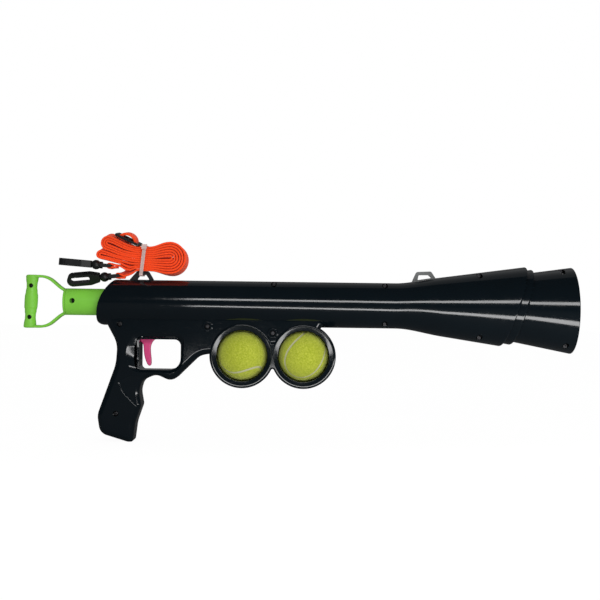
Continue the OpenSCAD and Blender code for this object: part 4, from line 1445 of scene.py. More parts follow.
    def panel_outline(self) -> list[Triple]:
        """Side outline of grip, guard and ring plate as x, z and corner radius.

        Returns:
            Corners as x, z and radius.
        """
        fx, fz = self.foot
        x0, x1, z0, _ = self.window
        low = z0 - 12
        rear, end = self.ring_x[0], self.ring_x[1] + 24.5
        return [
            (13.5, -12, 1), (13.5, -23, 2), (29.2, -52, 34), (27.6, -78, 60), (fx + 1.8, fz + 35, 24),
            (fx + 5.6, fz + 12, 14), (fx + self.grip_w - 0.4, fz - 0.5, 4.5),
            (fx + self.grip_w + 2.8, fz + 26, 50),
            (fx + self.grip_w + 10.4, fz + 48.5, 8), (x0 + 0.3, low - 15.2, 22), (x0 + 4, low - 1.7, 12),
            (x0 + 21.5, low + 6.3, 14), (x1 - 10.4, low - 3, 13), (rear - 53.4, self.ring_z - 0.1, 26),
            (end - 13, self.ring_z + 18, 4), (end, -25, 3), (end, -12, 1)]

    def panel(self, inset: float, rounding: float) -> Form:
        """The flat lower body, rounded along both sides."""
        outline = self.panel_outline()
        return Form.soft_plate(lambda d: inset_outline(outline, inset + d, 12), self.panel_half - inset,
                               rounding, 10)

    def rings_outline(self, inset: float) -> np.ndarray:
        """Outline round both ball rings, with a soft notch above and below between them.

        Args:
            inset: Distance inwards.

        Returns:
            Points as x and z.
        """
        r, f = self.ring_r - inset, self.notch_r + inset
        reach, half = self.ring_r + self.notch_r, (self.ring_x[1] - self.ring_x[0]) / 2
        turn, lift = math.degrees(math.acos(half / reach)), math.sqrt(reach**2 - half**2)
        middle = self.ring_x[0] + half
        arcs = ((self.ring_x[0], 0, r, turn, 360 - turn, 160), (middle, -lift, f, 180 - turn, turn, 12),
                (self.ring_x[1], 0, r, turn - 180, 180 - turn, 160), (middle, lift, f, -turn, turn - 180, 12))
        return np.array([np.array([x, self.ring_z + z]) + turned((radius, 0), low + (high - low) * k / steps)
                         for x, z, radius, low, high, steps in arcs for k in range(steps)])

    def ring_bore_cut(self, x: float, lip: bool, side: int) -> Form:
        """What is cut out of a ring on one side: a flared mouth with a rounded rim, and a lip.

        Args:
            x: The ring's place.
            lip: Whether the bore ends in a lip.
            side: -1 for the near side, 1 for the far one.

        Returns:
            The form to cut away.
        """
        half, bore = self.ring_half, self.ring_bore
        profile = [(bore, -3.0)]
        if lip:
            profile += [(bore, 10.6), (bore - self.stop_lip, 10.9), (bore - self.stop_lip, 13.0)]
        else:
            profile += [(bore, half - 2.4)]
        profile += [(bore + out, half - deep) for out, deep in self.mouth]
        return Form.turned_y((x, self.ring_z), [(r, side * y) for r, y in profile], 224)

    def window_outline(self, grow: float, steps: int = 10) -> np.ndarray:
        """The trigger window's outline, grown outwards."""
        x0, x1, z0, z1 = self.window
        return inset_outline([(x0, z1, 3), (x0, z0, 5), (x1, z0, 15), (x1, z1, 8)], -grow, steps)

    def sunk(self, outer: np.ndarray, inner: np.ndarray, steps: Sequence[Point2], side: int) -> Form:
        """A hollow in the lower body's flat side.

        Args:
            outer: The hollow's outline at the surface.
            inner: What the outline narrows to.
            steps: How far it has narrowed, from 0 to 1, at each depth.
            side: -1 for the near side, 1 for the far one.

        Returns:
            The form to cut away.
        """
        return Form.from_rings([flat_ring(outer + (inner - outer) * share, side * (self.panel_half - depth))
                                for share, depth in steps])

    def window_bevel(self, side: int) -> Form:
        """The dished border round the trigger window on one side.

        Args:
            side: -1 for the near side, 1 for the far one.

        Returns:
            The form to cut away.
        """
        x0, x1, z0, z1 = self.window
        outer = inset_outline([(x0 - 5.4, z1 + 8.2, 9), (x0 - 14, z1 - 6, 28), (x0 - 17.6, z0 + 18.5, 26),
                               (x0 - 9.6, z0 - 3.2, 14), (x1 + 3.4, z0 - 3.4, 17), (x1 + 4.6, z1 + 8.2, 11)],
                              0, 12)
        inner = inset_outline([(x0 + 0.6, z1 - 0.3, 3), (x0 + 0.3, z1 - 10, 9), (x0 + 0.3, z0 + 12, 9),
                               (x0 + 0.6, z0 + 0.3, 4), (x1 - 0.3, z0 + 0.3, 14), (x1 - 0.3, z1 - 0.3, 8)],
                              0, 12)
        return self.sunk(outer, inner, self.dish_steps, side)

    def finger_relief(self, side: int) -> Form:
        """The three-cornered relief at the grip's front edge on one side.

        Args:
            side: -1 for the near side, 1 for the far one.

        Returns:
            The form to cut away.
        """
        outer = inset_outline([(31, -100, 3.5), (36.5, -113.5, 26), (53, -130.5, 3), (66, -137.5, 3),
                               (80, -92, 3), (45, -91.5, 14)], 0, 8)
        return self.sunk(outer, outer.mean(0), self.relief_steps, side)

    @property
    def screws(self) -> Pairs:
        """Places of all the screws in the near shell."""
        return self.flat_screws + self.curved_screws

    def pad(self, centre: Point2, side: int) -> Form:
        """A raised round pad under a screw.

        Args:
            centre: The screw's place.
            side: -1 for the near side, 1 for the far one.

        Returns:
            The closed form.
        """
        arc = [(6.4 - 0.7 * (1 - math.cos(a)), self.panel_half + 0.2 + 0.7 * math.sin(a))
               for a in np.radians(np.arange(0, 91, 18))]
        profile = [(7.6, self.panel_half - 1.5), (7.6, self.panel_half - 0.25), (6.9, self.panel_half)]
        return Form.turned_y(centre, [(r, side * y) for r, y in profile + arc], 96)

    def seat(self, point: Point2) -> float:
        """How far from the middle plane a screw head's underside lies.

        Args:
            point: The screw's place.

        Returns:
            The distance.
        """
        if tuple(point) in self.flat_screws:
            return self.panel_half - 2.8
        reach = abs(point[1]) + 3.2 * 0.86
        return math.sqrt(self.radius_at(point[0]) ** 2 - reach**2) - 0.5

    def screw_hole(self, point: Point2) -> Form:
        """The counterbore of one screw in the near side."""
        return Form.rod_y(point, self.counterbore_r, -80.0, -self.seat(point), 56)

    def hollow(self) -> Carving:
        """What is hollow inside both shells.

        Returns:
            What to cut out of the whole body.
        """
        inner = Carving("hollow", self.barrel(self.wall, 3.0))
        inner.join(self.panel(self.wall, self.edge_r - self.wall))
        half = self.ring_half - self.wall - 1.5
        for x in self.ring_x:
            inner.join(Form.rod_y((x, self.ring_z), self.ring_r - self.wall, -half, half, 128))
        inner.remove(Form.plate(self.window_outline(self.wall), -self.through, self.through))
        near, wide = self.ring_bore + self.wall, self.ring_bore + self.mouth_flare + self.wall
        for x in self.ring_x:
            inner.remove(Form.turned_y((x, self.ring_z), [
                (wide, -self.through), (near, -10), (near, 10), (wide, self.through)], 128))
        for low, high in ((-100.0, -1.0), (1.0, 100.0)):
            inner.remove(*[Form.rod_y(point, self.boss_r, low, high, 40) for point in self.screws])
        return inner

    def chamber(self) -> Carving:
        """The cylinder that holds the ball and the funnel that leads to it.

        Returns:
            The carving.
        """
        funnel_x = self.length - (self.liner_at(self.length) - self.chamber_r) / self.muzzle_slope
        outer = [(446, 25.5), (456, 34.9), (468.6, 34.9), (468.6, 37.7), (470.6, 37.7), (470.6, 34.9),
                 (funnel_x, self.chamber_r), (584, self.liner_at(584))]
        inner = [(440, 15.5), (449, 15.5), (450.6, 23.5), (455, 29.6), (461, 32.6),
                 (funnel_x + 1.5, 32.6), (580, self.liner_at(580) - 2.3), (584, self.liner_at(584) - 0.6),
                 (590, self.liner_at(584) + 0.3)]
        return Carving("funnel_and_chamber", Form.turned_x(outer)).remove(Form.turned_x(inner))

    def build(self) -> None:
        """Makes both shells and dresses them."""
        whole = Carving("whole_body", self.barrel(0.0))
        whole.join(self.panel(0.0, self.edge_r),
                   Form.soft_plate(self.rings_outline, self.ring_half, 2.6, 8))
        for side in (-1, 1):
            whole.join(*[self.pad(p, side) for p in self.pads])
            whole.remove(self.window_bevel(side), self.finger_relief(side))
        whole.remove(self.hollow())
        x0, _, _, z1 = self.window
        slot, loop, rim = self.trigger_slot, self.loop_slot_half, self.muzzle_at(self.length) - self.wall
        whole.remove(
            Form.turned_x([(-5, self.tube_way_r), (24, self.tube_way_r)], 128),
            Form.plate(self.window_outline(0.0), -self.through, self.through),
            Form.box((x0 - 4, -slot, z1 - 1), (x0 + 31, slot, z1 + 3.6)),
            Form.box((x0 - 4, -slot, z1 - 26), (x0 + 6, slot, z1 + 1)),
            *[Form.box((low, -loop, 20), (high, loop, 49)) for low, high in self.loop_slots],
            Form.turned_x([(self.length - 0.9, rim - 0.2), (self.length + 0.6, rim + 1.3)], 192))
        near, far = whole.parted("left_half_shell", "right_half_shell", self.seam)
        for x in self.ring_x:
            near.remove(self.ring_bore_cut(x, False, -1))
            far.remove(self.ring_bore_cut(x, True, 1))
        near.remove(*[self.screw_hole(p) for p in self.screws])
        for made, finish, node in ((near, BODY, "left_shell"), (far, BODY, "right_shell"),
                                   (self.chamber(), INNER, "ball_chamber")):
            dress(drooped(made.finished()), finish, "body", [node])
        Screws().build("shell_screws", [(x, -self.seat((x, z)), z) for x, z in self.screws], "body",
                       "body_screws")


# --- Handle and trigger ---


@dataclass
class PullHandle:
    """Green pull tube and the D-shaped handle in two moulded halves."""

    tube_r: float = 17.0
    bore: float = 14.0
    out: float = 37.8
    end: float = 225.5
    slot: Pair = (206.5, 217.5)
    pin_x: float = 203.5
    bar_x: float = -83.8
    bar_half: float = 33.9
    lean: float = math.tan(math.radians(2.3))
    bar_radii: Pairs = (
        (0, 8.4), (6, 8.3), (12, 7.4), (18, 6.7), (22, 6.8), (27, 7.6), (31, 8.0), (34, 8.0))
    bar_round: float = 2.4
    arm_w: float = 13.0
    arm_t: float = 3.3
    cap_t: float = 3.0
    screw_z: float = 20.0
    recess_r: float = 3.4
    bar_recess_r: float = 2.9
    tube_screw: Pair = (-28.3, 1.5)
    tube_seat: float = -8.0
    bar_seat: float = -3.2
    seam: float = 0.06

    @property
    def bar_screws(self) -> list[Pair]:
        """Places of the two screws in the bar."""
        return [(self.bar_x + self.lean * z, z) for z in (-self.screw_z, self.screw_z)]

    def tube(self) -> None:
        """Turns the tube, with its slot for the catch and the hole for the handle's screw."""
        skin = [(-self.out, self.tube_r - 0.6), (-self.out + 0.18, self.tube_r - 0.18),
                (-self.out + 0.6, self.tube_r), (self.end - 0.6, self.tube_r), (self.end, self.tube_r - 0.6)]
        tube = Carving("green_tube", Form.turned_x(skin, 160))
        low, high = self.slot
        tube.remove(Form.turned_x([(-self.out - 2, self.bore), (self.end + 2, self.bore)], 128),
                    Form.box((low, -5, -self.tube_r - 2), (high, 5, -self.bore + 2)),
                    Form.rod_y(self.tube_screw, self.recess_r, -30, 0),
                    Form.rod_y((self.pin_x, 0), 2.05, -30, 30))
        dress(tube.finished(), GREEN, "pull", ["pull_tube"])

    def bar_radius(self, z: float) -> float:
        """Radius of the bar at a height.

        Args:
            z: Height over the bar's middle.

        Returns:
            The radius.
        """
        steps = np.array(self.bar_radii)
        near = np.clip((abs(z) - steps[:, 0]) / 6.0, -1, 1)
        weight = (1 - np.abs(near)) ** 2 + 1e-9
        return float((weight * steps[:, 1]).sum() / weight.sum())

    def bar(self) -> Form:
        """The leaning bar with its swell and its two necks.

        Returns:
            The closed form.
        """
        turn = np.linspace(0, 2 * math.pi, 96, endpoint=False)
        straight = self.bar_half - self.bar_round
        rows = [(z, self.bar_radius(z)) for z in np.linspace(-straight, straight, 61)]
        ends = [(self.bar_half - self.bar_round * (1 - math.sin(a)),
                 self.bar_radius(self.bar_half) - self.bar_round * (1 - math.cos(a)))
                for a in np.radians((18, 36, 54, 72, 90))]
        rows = [(-z, r) for z, r in reversed(ends)] + rows + ends
        return Form.from_rings([
            np.stack([self.bar_x + self.lean * z + r * np.cos(turn), r * np.sin(turn),
                      np.full(turn.shape, z)], 1)
            for z, r in rows
        ])

    def arm(self, side: int) -> Form:
        """One thin arm from the bar's end to the tube.

        Args:
            side: 1 for the upper arm, -1 for the lower one.

        Returns:
            The closed form.
        """
        x, half = self.bar_x, self.bar_half
        path = rounded_path([
            (x + side * self.lean * half, half - self.arm_t / 2 - 0.3, 0),
            (x + 21, half - self.arm_t / 2, 26), (-self.out - 8.5, self.tube_r + 1.2, 18),
            (-self.out - 1.2, self.tube_r - 3.4, 0)], 14)
        path = path * [1, side]
        if side > 0:
            path = path[::-1]
        return Form.soft_plate(lambda d: strip(path, self.arm_t - 2 * d), self.arm_w / 2, 1.3, 5)

    def handle(self) -> None:
        """Makes both halves of the handle, parted along the middle plane."""
        whole = Carving("handle_form", self.bar())
        whole.join(self.arm(1), self.arm(-1))
        soft = 1.0
        cap = [(-self.out - self.cap_t + soft * (1 - math.sin(a)), self.tube_r - soft * (1 - math.cos(a)))
               for a in np.radians((90, 67.5, 45, 22.5, 0))]
        whole.join(Form.turned_x(cap + [(-self.out - 0.1, self.tube_r)], 160),
                   Form.turned_x([(-self.out - 1, self.bore - 0.1), (-self.out + 22, self.bore - 0.1)], 96))
        near, far = whole.parted("handle_near_half", "handle_far_half", self.seam)
        for x, z in self.bar_screws:
            near.remove(Form.rod_y((x, z), self.bar_recess_r, -30, self.bar_seat))
        near.remove(Form.rod_y(self.tube_screw, self.recess_r, -30, self.tube_seat))
        dress(near.finished(), GREEN, "pull", ["handle_left_half"])
        dress(far.finished(), GREEN, "pull", ["handle_right_half"])

    def build(self) -> None:
        """Makes the tube, both halves and their screws."""
        self.tube()
        self.handle()
        seats = [(x, self.bar_seat, z) for x, z in self.bar_screws]
        seats.append((self.tube_screw[0], self.tube_seat, self.tube_screw[1]))
        screws = Screws(shank_l=8.0, head_r=2.5, turn=11)
        screws.build("bar_and_tube_screws", seats, "pull", "handle_screws")


@dataclass
class Trigger:
    """Pink trigger: curved blade, hub and the arm that works the catch."""

    window: Pair = (57.5, -46.2)
    pivot: Pair = (81.0, -36.0)
    catch_x: float = 102.0
    arm_z: float = -29.0
    half: float = 3.5
    soft: float = 1.25
    blade: Pairs = (
        (-0.7, 2.2), (-0.7, -2.8), (3.3, -6.3), (3.7, -14), (4.7, -22), (7.1, -29.3), (9.1, -33.2),
        (11.5, -34.6), (13.5, -33.2), (13.7, -27), (12.3, -16), (12.3, -9), (15, -3), (19, 0.2), (29, 0.2),
        (28, 7.2), (18, 8.2))

    def build(self) -> None:
        """Makes the trigger in one piece."""
        outline = cut_corners(np.array(self.blade) + self.window, 3)
        (px, pz), cx, az = self.pivot, self.catch_x, self.arm_z
        blade = Form.soft_plate(lambda d: drawn_in(outline, d), self.half, self.soft)
        trigger = Carving("pink_trigger", blade)
        trigger.join(
            Form.rod_y(self.pivot, 6, -self.half + 0.01, self.half - 0.01),
            Form.plate([(px - 3, pz), (px + 3.5, pz), (px + 5, az - 1.2), (cx, az - 1.2), (cx, az + 1.2),
                        (px - 1, az + 1.2)], -self.half + 0.02, self.half - 0.02),
            Form.rod_y((cx, az), 2.1, -self.half + 0.03, self.half - 0.03))
        trigger.remove(Form.rod_y(self.pivot, 1.58, -10, 10, 32))
        dress(trigger.finished(), PINK, "trigger", ["trigger"])


# --- Balls ---


@dataclass
class Ball:
    """A felt-covered tennis ball with its curved seam and a short nap of fibres."""

    name: str
    node: str
    x: float
    turn: tuple[float, float, float, float]
    z: float = -65.4
    radius: float = 31.55
    seam_half: float = 1.55
    seam_soft: float = 0.35
    seam_deep: float = 0.55
    lip_at: float = 1.3
    lip_w: float = 0.8
    lip_h: float = 0.22
    wave_h: float = 0.05
    fibres: int = 6500
    fibre_l: float = 1.5
    fibre_r: float = 0.055
    seed: int = 3
    widen: float = 1.0

    def seam_line(self, steps: int = 480) -> np.ndarray:
        """The seam as unit directions, turned as the ball lies in its ring.

        Args:
            steps: Number of points.

        Returns:
            One unit vector for each point.
        """
        a, b = 0.75, 0.25
        t = np.linspace(0, 2 * math.pi, steps, endpoint=False)
        line = np.stack([a * np.cos(t) + b * np.cos(3 * t), a * np.sin(t) - b * np.sin(3 * t),
                         2 * math.sqrt(a * b) * np.sin(2 * t)], 1)
        line = line @ np.array(Quaternion(self.turn).to_matrix()).T * (1, 1, self.widen)
        return line / np.linalg.norm(line, axis=1, keepdims=True)

    def build(self) -> None:
        """Makes the ball, presses its seam in and grows the nap."""
        mesh = bpy.data.meshes.new(self.name)
        work = bmesh.new()
        bmesh.ops.create_icosphere(work, subdivisions=7, radius=1.0)
        work.to_mesh(mesh)
        work.free()
        ways = points_of(mesh)
        line = self.seam_line()
        near = np.full(len(ways), -1.0)
        for part in np.array_split(line, 12):
            near = np.maximum(near, (ways @ part.T).max(1))
        away = np.arccos(np.clip(near, -1, 1)) * self.radius
        seam = 1 - smoothstep(away, self.seam_half - self.seam_soft, self.seam_half + self.seam_soft)
        roll = np.exp(-((away - self.seam_half - self.lip_at) / self.lip_w) ** 2)
        wave = sum(np.sin(ways @ np.array(k, float) + p) for k, p in (
            ((31, 17, -23), 0.4), ((-19, 37, 29), 1.7), ((43, -11, 21), 2.9), ((9, 47, -33), 4.1)))
        height = (self.radius - self.seam_deep * seam + self.lip_h * roll
                  + self.wave_h * wave * (1 - seam))
        points = ways * height[:, None] + [self.x, 0, self.z]
        mesh.vertices.foreach_set("co", placed(points).ravel())
        mesh.attributes.new("seam", "FLOAT", "POINT").data.foreach_set("value", seam)
        piece = linked(self.name, mesh)
        growth = Growth("felt_nap", Count=float(self.fibres), Length=self.fibre_l * MM,
                        Thick=self.fibre_r * MM, Seed=self.seed)
        size = growth.size
        seam_value = growth.signal("GeometryNodeInputNamedAttribute", "Attribute", {"data_type": "FLOAT"},
                                   {"Name": "seam"})
        area = 4 * math.pi * (self.radius * MM) ** 2
        spots = growth.node("GeometryNodeDistributePointsOnFaces", {"distribute_method": "RANDOM"}, {
            "Mesh": growth.base, "Density": (1 - seam_value) * size["Count"] * (1 / area),
            "Seed": size["Seed"]})
        hair = growth.signal("GeometryNodeMeshCone", "Mesh", {"fill_type": "NONE"}, {
            "Vertices": 3, "Side Segments": 2, "Radius Top": size["Thick"] * 0.3,
            "Radius Bottom": size["Thick"], "Depth": size["Length"]})
        spin = growth.signal("FunctionNodeRandomValue", "Value", {"data_type": "FLOAT_VECTOR"}, {
            "Min": (-1.1, -1.1, -3.1), "Max": (1.1, 1.1, 3.1), "Seed": size["Seed"]})
        turned_to = growth.signal("FunctionNodeRotateRotation", 0, {"rotation_space": "LOCAL"}, {
            0: Signal(growth, socket_of(spots.outputs, "Rotation")), 1: spin})
        scale = growth.signal("FunctionNodeRandomValue", "Value_001", {"data_type": "FLOAT"}, {
            "Min_001": 0.5, "Max_001": 1.2, "Seed": size["Seed"] + 5})
        nap = growth.signal("GeometryNodeInstanceOnPoints", 0, None, {
            "Points": Signal(growth, spots.outputs[0]), "Instance": hair, "Rotation": turned_to,
            "Scale": growth.vector(1.0, 1.0, scale)})
        both = growth.node("GeometryNodeJoinGeometry")
        for part in (nap, growth.base):
            growth.feed(both.inputs[0], part)
        growth.grown(piece, Signal(growth, both.outputs[0]), FELT)
        smoothed(piece.data)
        dress(piece, FELT, self.node, [self.node])


# --- Strap and its fittings ---


def rolled(piece: Piece, slider: Triple) -> Piece:
    """Rolls the slider, or the webbing in it, about its long axis: it lies on the hank's leaning lobe.

    Args:
        piece: The piece.
        slider: The slider's x, z and tilt in degrees.

    Returns:
        The same piece.
    """
    x, z, tilt = slider
    along = Vector((math.cos(math.radians(tilt)), 0, math.sin(math.radians(tilt))))
    centre = at(x, 0, z)
    turn = Matrix.Rotation(-math.radians(SLIDER_ROLL), 4, along)
    piece.data.transform(Matrix.Translation(centre) @ turn @ Matrix.Translation(-centre))
    return shaded(piece)


@dataclass
class Ribbon:
    """Flat webbing with rounded edges that follows a path in the launcher's middle plane."""

    width: float = 20.0
    thick: float = 2.55
    edge_steps: int = 4

    def section(self) -> np.ndarray:
        """Cross-section as offset from the path and place across the launcher.

        Returns:
            Points as offset and y.
        """
        r, half = self.thick / 2, self.width / 2
        angles = np.radians(np.linspace(-90, 90, self.edge_steps * 2 + 1))
        far = [(-r * math.sin(a), half - 0.7 * r + 0.7 * r * math.cos(a)) for a in angles]
        far += [(-r, (half - 0.7 * r) * k) for k in (0.5, 0.0, -0.5)]
        near = [(-x, -y) for x, y in far]
        return np.array(far + near)

    def build(self, name: str, path: np.ndarray, lay: Any = None) -> Piece:
        """Makes the webbing.

        Args:
            name: The new piece's name.
            path: Points of the middle line as x and z.
            lay: Moves the finished rings sideways, if given.

        Returns:
            The new piece, with its UV map in millimetres of webbing.
        """
        section = self.section()
        ways = tangents(path)
        side = np.stack([-ways[:, 1], ways[:, 0]], 1)
        flat = path[:, None, :] + side[:, None, :] * section[None, :, :1]
        across = np.broadcast_to(section[None, :, 1], flat.shape[:2])
        rings = np.stack([flat[..., 0], across, flat[..., 1]], 2)
        if lay is not None:
            rings = lay(rings)
        piece = Form.from_rings(rings).to_object(name)
        mesh, count = piece.data, len(section)
        along = np.concatenate([[0], np.cumsum(np.linalg.norm(np.diff(path, axis=0), axis=1))])
        edge = np.linalg.norm(np.roll(section, -1, 0) - section, axis=1)
        around = np.concatenate([[0], np.cumsum(edge)])
        layer = mesh.uv_layers.new(name="weave")
        for polygon in mesh.polygons:
            rows = [divmod(v, count) for v in polygon.vertices]
            wrap = {0, count - 1} <= {c for _, c in rows} and len(rows) == 4
            for corner, (k, c) in zip(polygon.loop_indices, rows):
                layer.data[corner].uv = (along[k], around[count if wrap and c == 0 else c])
        return shaded(piece)


@dataclass
class StrapHank:
    """The strap: twelve runs through the tie, folded into lobes, its ends round the hooks' eyes."""

    runs: int = 12
    run_low: float = 41.55
    run_step: float = 2.6
    waist: Pair = (56.5, 66.5)
    order: tuple[int, ...] = (12, 1, 6, 7, 10, 3, 4, 9, 8, 5, 2, 11)
    right: tuple[float, ...] = (94.9, 56.25, 0.0, 2.5, 3.36)
    upper: tuple[float, ...] = (16.3, 77.25, 163.0, 2.3, 2.9)
    middle: tuple[float, ...] = (7.3, 62.15, 167.0, 2.3, 2.9)
    upper_neck: Triple = (-7.0, 48.3, 4.4)
    lower_neck: Triple = (4.0, 31.6, -5.5)
    eye_bar: float = 24.4
    wrap_r: float = 2.75
    lifts: Pair = (14.0, -2.0)
    slider: Triple = (40.0, 80.45, -25.0)
    end_half: float = 11.0
    end_rise: float = 9.8
    end_thick: float = 3.2
    lean: float = 0.2
    low_lean: float = 0.4
    tip_lean: float = 0.09
    bow: float = 0.009
    wander: float = 1.1
    loose_x: Pair = (9, 34)
    loose_z: Pair = (52, 64)
    bow_z: Pair = (48, 54)
    flat_size: Pair = (0.020, 1.325)

    def run_z(self, k: int) -> float:
        """Height of one run at the waist."""
        return self.run_low + (self.runs - k) * self.run_step

    def turn(self, a: int, b: int, rightward: bool) -> list[np.ndarray]:
        """One turn of the webbing from run a to run b, out along a lobe and back.

        Args:
            a: The run it starts from.
            b: The run it ends in.
            rightward: Whether it lies in the right lobe.

        Returns:
            Points of the middle line.
        """
        lobe = self.right if rightward else self.upper if a <= 6 else self.middle
        centre, way = np.array(lobe[:2]), turned((1, 0), lobe[2])
        radius = lobe[3] + (abs(a - b) - 1) / 2 * lobe[4]
        left, side = lobe[2] > 90, 1 if a < b else -1
        flat = np.array([-1.0 if left else 1.0, 0.0])
        edge = self.waist[0] if left else self.waist[1]
        start, stop = np.array([edge, self.run_z(a)]), np.array([edge, self.run_z(b)])
        up = turned((0, radius), lobe[2]) * (-1 if left else 1)
        first, last = centre + up * side, centre - up * side
        reach = np.linalg.norm(first - start) * 0.4
        ease = np.linspace(0, 1, 9)[1:-1]
        spin = side * (180 if left else -180)
        out = [bezier((start, start + flat * reach, first - way * reach, first), t) for t in ease]
        back = [bezier((stop, stop + flat * reach, last - way * reach, last), t) for t in ease[::-1]]
        arc = [centre + turned(first - centre, spin * k / 18) for k in range(19)]
        return [start] + out + arc + back + [stop]

    def wrapped(self, neck: Triple, lift: float, k: int) -> list[np.ndarray]:
        """An end of the webbing, turned round a hook's bar, up to the waist.

        Args:
            neck: The hook's neck as x, z and slope.
            lift: Slope of the webbing at the bar.
            k: The run that the end goes on in.

        Returns:
            Points of the middle line.
        """
        along = turned((1, 0), lift)
        side = left_of(along)
        bar = np.array(neck[:2]) + turned((self.eye_bar, 0), -neck[2])
        goal = np.array([self.waist[0], self.run_z(k)])
        leave = bar + along * 8 + side * 1.25
        path = [bar + along * 9 - side * 1.25, bar + along * 4.5 - side * 1.7]
        path += [bar + turned((self.wrap_r, 0), lift + a) for a in range(-75, -286, -21)]
        path += [bar + along * 4.5 + side * 1.7, leave]
        rise = (leave, leave + along * 8, goal - (9, 0), goal)
        return path + [bezier(rise, t) for t in (0.2, 0.4, 0.6, 0.8)]

    def line(self) -> np.ndarray:
        """The whole strap's middle line, from the lower hook to the upper one.

        Returns:
            Points as x and z.
        """
        path = self.wrapped(self.lower_neck, self.lifts[0], self.order[0])
        for i in range(self.runs - 1):
            a, b = self.order[i], self.order[i + 1]
            if i % 2 == 0:
                path.append(np.array([self.waist[0], self.run_z(a)]))
            path += self.turn(a, b, i % 2 == 0)
        path.append(np.array([self.waist[0], self.run_z(self.order[-1])]))
        path += self.wrapped(self.upper_neck, self.lifts[1], self.order[-1])[::-1]
        kept = [path[0]]
        for point in path[1:]:
            if np.linalg.norm(point - kept[-1]) > 0.2:
                kept.append(point)
        return np.array(kept)

    def lay(self, rings: np.ndarray) -> np.ndarray:
        """Lets the loose lobes lean, bow and slip sideways, and leaves the waist and the ends.

        Args:
            rings: The webbing's rings of points.

        Returns:
            The moved rings.
        """
        x, z = rings[:, :, 0].mean(1), rings[:, :, 2].mean(1)
        middle = sum(self.waist) / 2
        away = smoothstep(np.abs(x - middle), *self.loose_x)
        loose = away * np.where(x < middle, smoothstep(z, *self.loose_z), 1.0)
        along = np.arange(len(rings))
        slip = self.wander * loose * np.sin(along * 0.047 + 0.8) * np.where(x < middle, 1.0, 1.3)
        lean = self.lean * loose * np.where(x < middle, 1.0, -0.7)
        low = smoothstep(x, 29, 36) * (1 - smoothstep(x, 45, 52)) * (1 - smoothstep(z, 46, 52))
        lean += self.low_lean * low
        moved = rings.copy()
        moved[:, :, 2] += rings[:, :, 1] * lean[:, None]
        bow = (rings[:, :, 1] ** 2 - rings[:, :, 1].max() ** 2) * self.bow
        moved[:, :, 0] += (rings[:, :, 1] * self.tip_lean + bow) * loose[:, None]
        moved[:, :, 2] += bow * (away * smoothstep(z, *self.bow_z))[:, None]
        moved[:, :, 1] += slip[:, None]
        return moved

    def end_line(self) -> np.ndarray:
        """Middle line of the short end that humps over the slider's middle bar.

        Returns:
            Points as x and z.
        """
        foot, half = -1.6, self.end_half
        x, z, tilt = self.slider
        curve = [bezier(((half, foot), (half * 0.8, self.end_rise), (-half * 0.8, self.end_rise),
                         (-half, foot)), t) for t in np.linspace(0, 1, 25)]
        return np.array([np.array([x, z]) + turned(point, tilt) for point in curve])

    def build(self) -> None:
        strap = Ribbon().build("orange_strap", self.line(), self.lay)
        dress(strap, STRAP, "body", ["strap"])
        end = Ribbon(thick=self.end_thick).build("orange_strap_end", self.end_line())
        rolled(end, self.slider)
        dress(end, STRAP, "body", ["strap_end"])


@dataclass
class ZipTie:
    """The tie round the hank's waist, with its ribs and its head."""

    x: float = 59.65
    low: float = 35.0
    high: float = 71.5
    half: float = 10.35
    thick: float = 1.3
    pitch: float = 1.3
    lean: float = 0.115

    def build(self) -> None:
        """Rounds the CAD band and adds ribs along its sides and its top."""
        piece = softened("zip_tie", "cable_tie", 0.35, 3)
        growth = Growth("tie_ribs", Pitch=self.pitch * MM, Long=3.0 * MM, Wide=0.55 * MM, High=0.5 * MM)
        size = growth.size
        both = growth.node("GeometryNodeJoinGeometry")
        growth.feed(both.inputs[0], growth.base)
        out = self.half + self.thick
        tall, wide = self.high - self.low - 4, 2 * self.half - 4
        rows = ((at(self.x, -out, self.low + 2), (0, 1), tall),
                (at(self.x, out, self.low + 2), (0, 1), tall),
                (at(self.x, -self.half + 2, self.high + self.thick), (1, 0), wide))
        for start, (across, up), length in rows:
            offset = growth.vector(0.0, size["Pitch"] * across, size["Pitch"] * up)
            spots = growth.signal("GeometryNodeMeshLine", 0, {"mode": "OFFSET"}, {
                "Count": int(length / self.pitch), "Start Location": tuple(start), "Offset": offset})
            block = growth.vector(size["Long"], size["Wide"] if across else size["High"],
                                  size["High"] if across else size["Wide"])
            rib = growth.signal("GeometryNodeMeshCube", 0, None, {"Size": block})
            growth.feed(both.inputs[0], growth.signal("GeometryNodeInstanceOnPoints", 0, None, {
                "Points": spots, "Instance": rib}))
        growth.grown(piece, Signal(growth, both.outputs[0]), TIE)
        lean = Matrix.Identity(4)
        lean[0][2] = self.lean
        lean[0][3] = -self.lean * at(0, 0, (self.low + self.high) / 2).z
        piece.data.transform(lean)
        dress(shaded(piece), TIE, "body", ["zip_tie"])


@dataclass
class Fittings:
    """Slider, snap hooks with their eyes, and the two sling loops."""

    rounding: tuple[tuple[str, str, float], ...] = (
        ("strap_slider", "body", 0.8), ("rear_sling_loop", "body", 0.7), ("front_sling_loop", "body", 0.9),
        ("upper_hook", "upper_hook", 1.0), ("upper_hook_eye", "body", 0.6),
        ("lower_hook", "lower_hook", 1.0), ("lower_hook_eye", "body", 0.6))

    def build(self) -> None:
        """Rounds each fitting's edges and dresses it."""
        for node, body, width in self.rounding:
            piece = softened(node, node + "_moulding", width)
            if node == "strap_slider":
                rolled(piece, StrapHank.slider)
            finish = HIGHLIT_LOOP_PLASTIC if node == "front_sling_loop" else LOOP if "loop" in node else HOOK
            dress(piece, finish, body, [node])


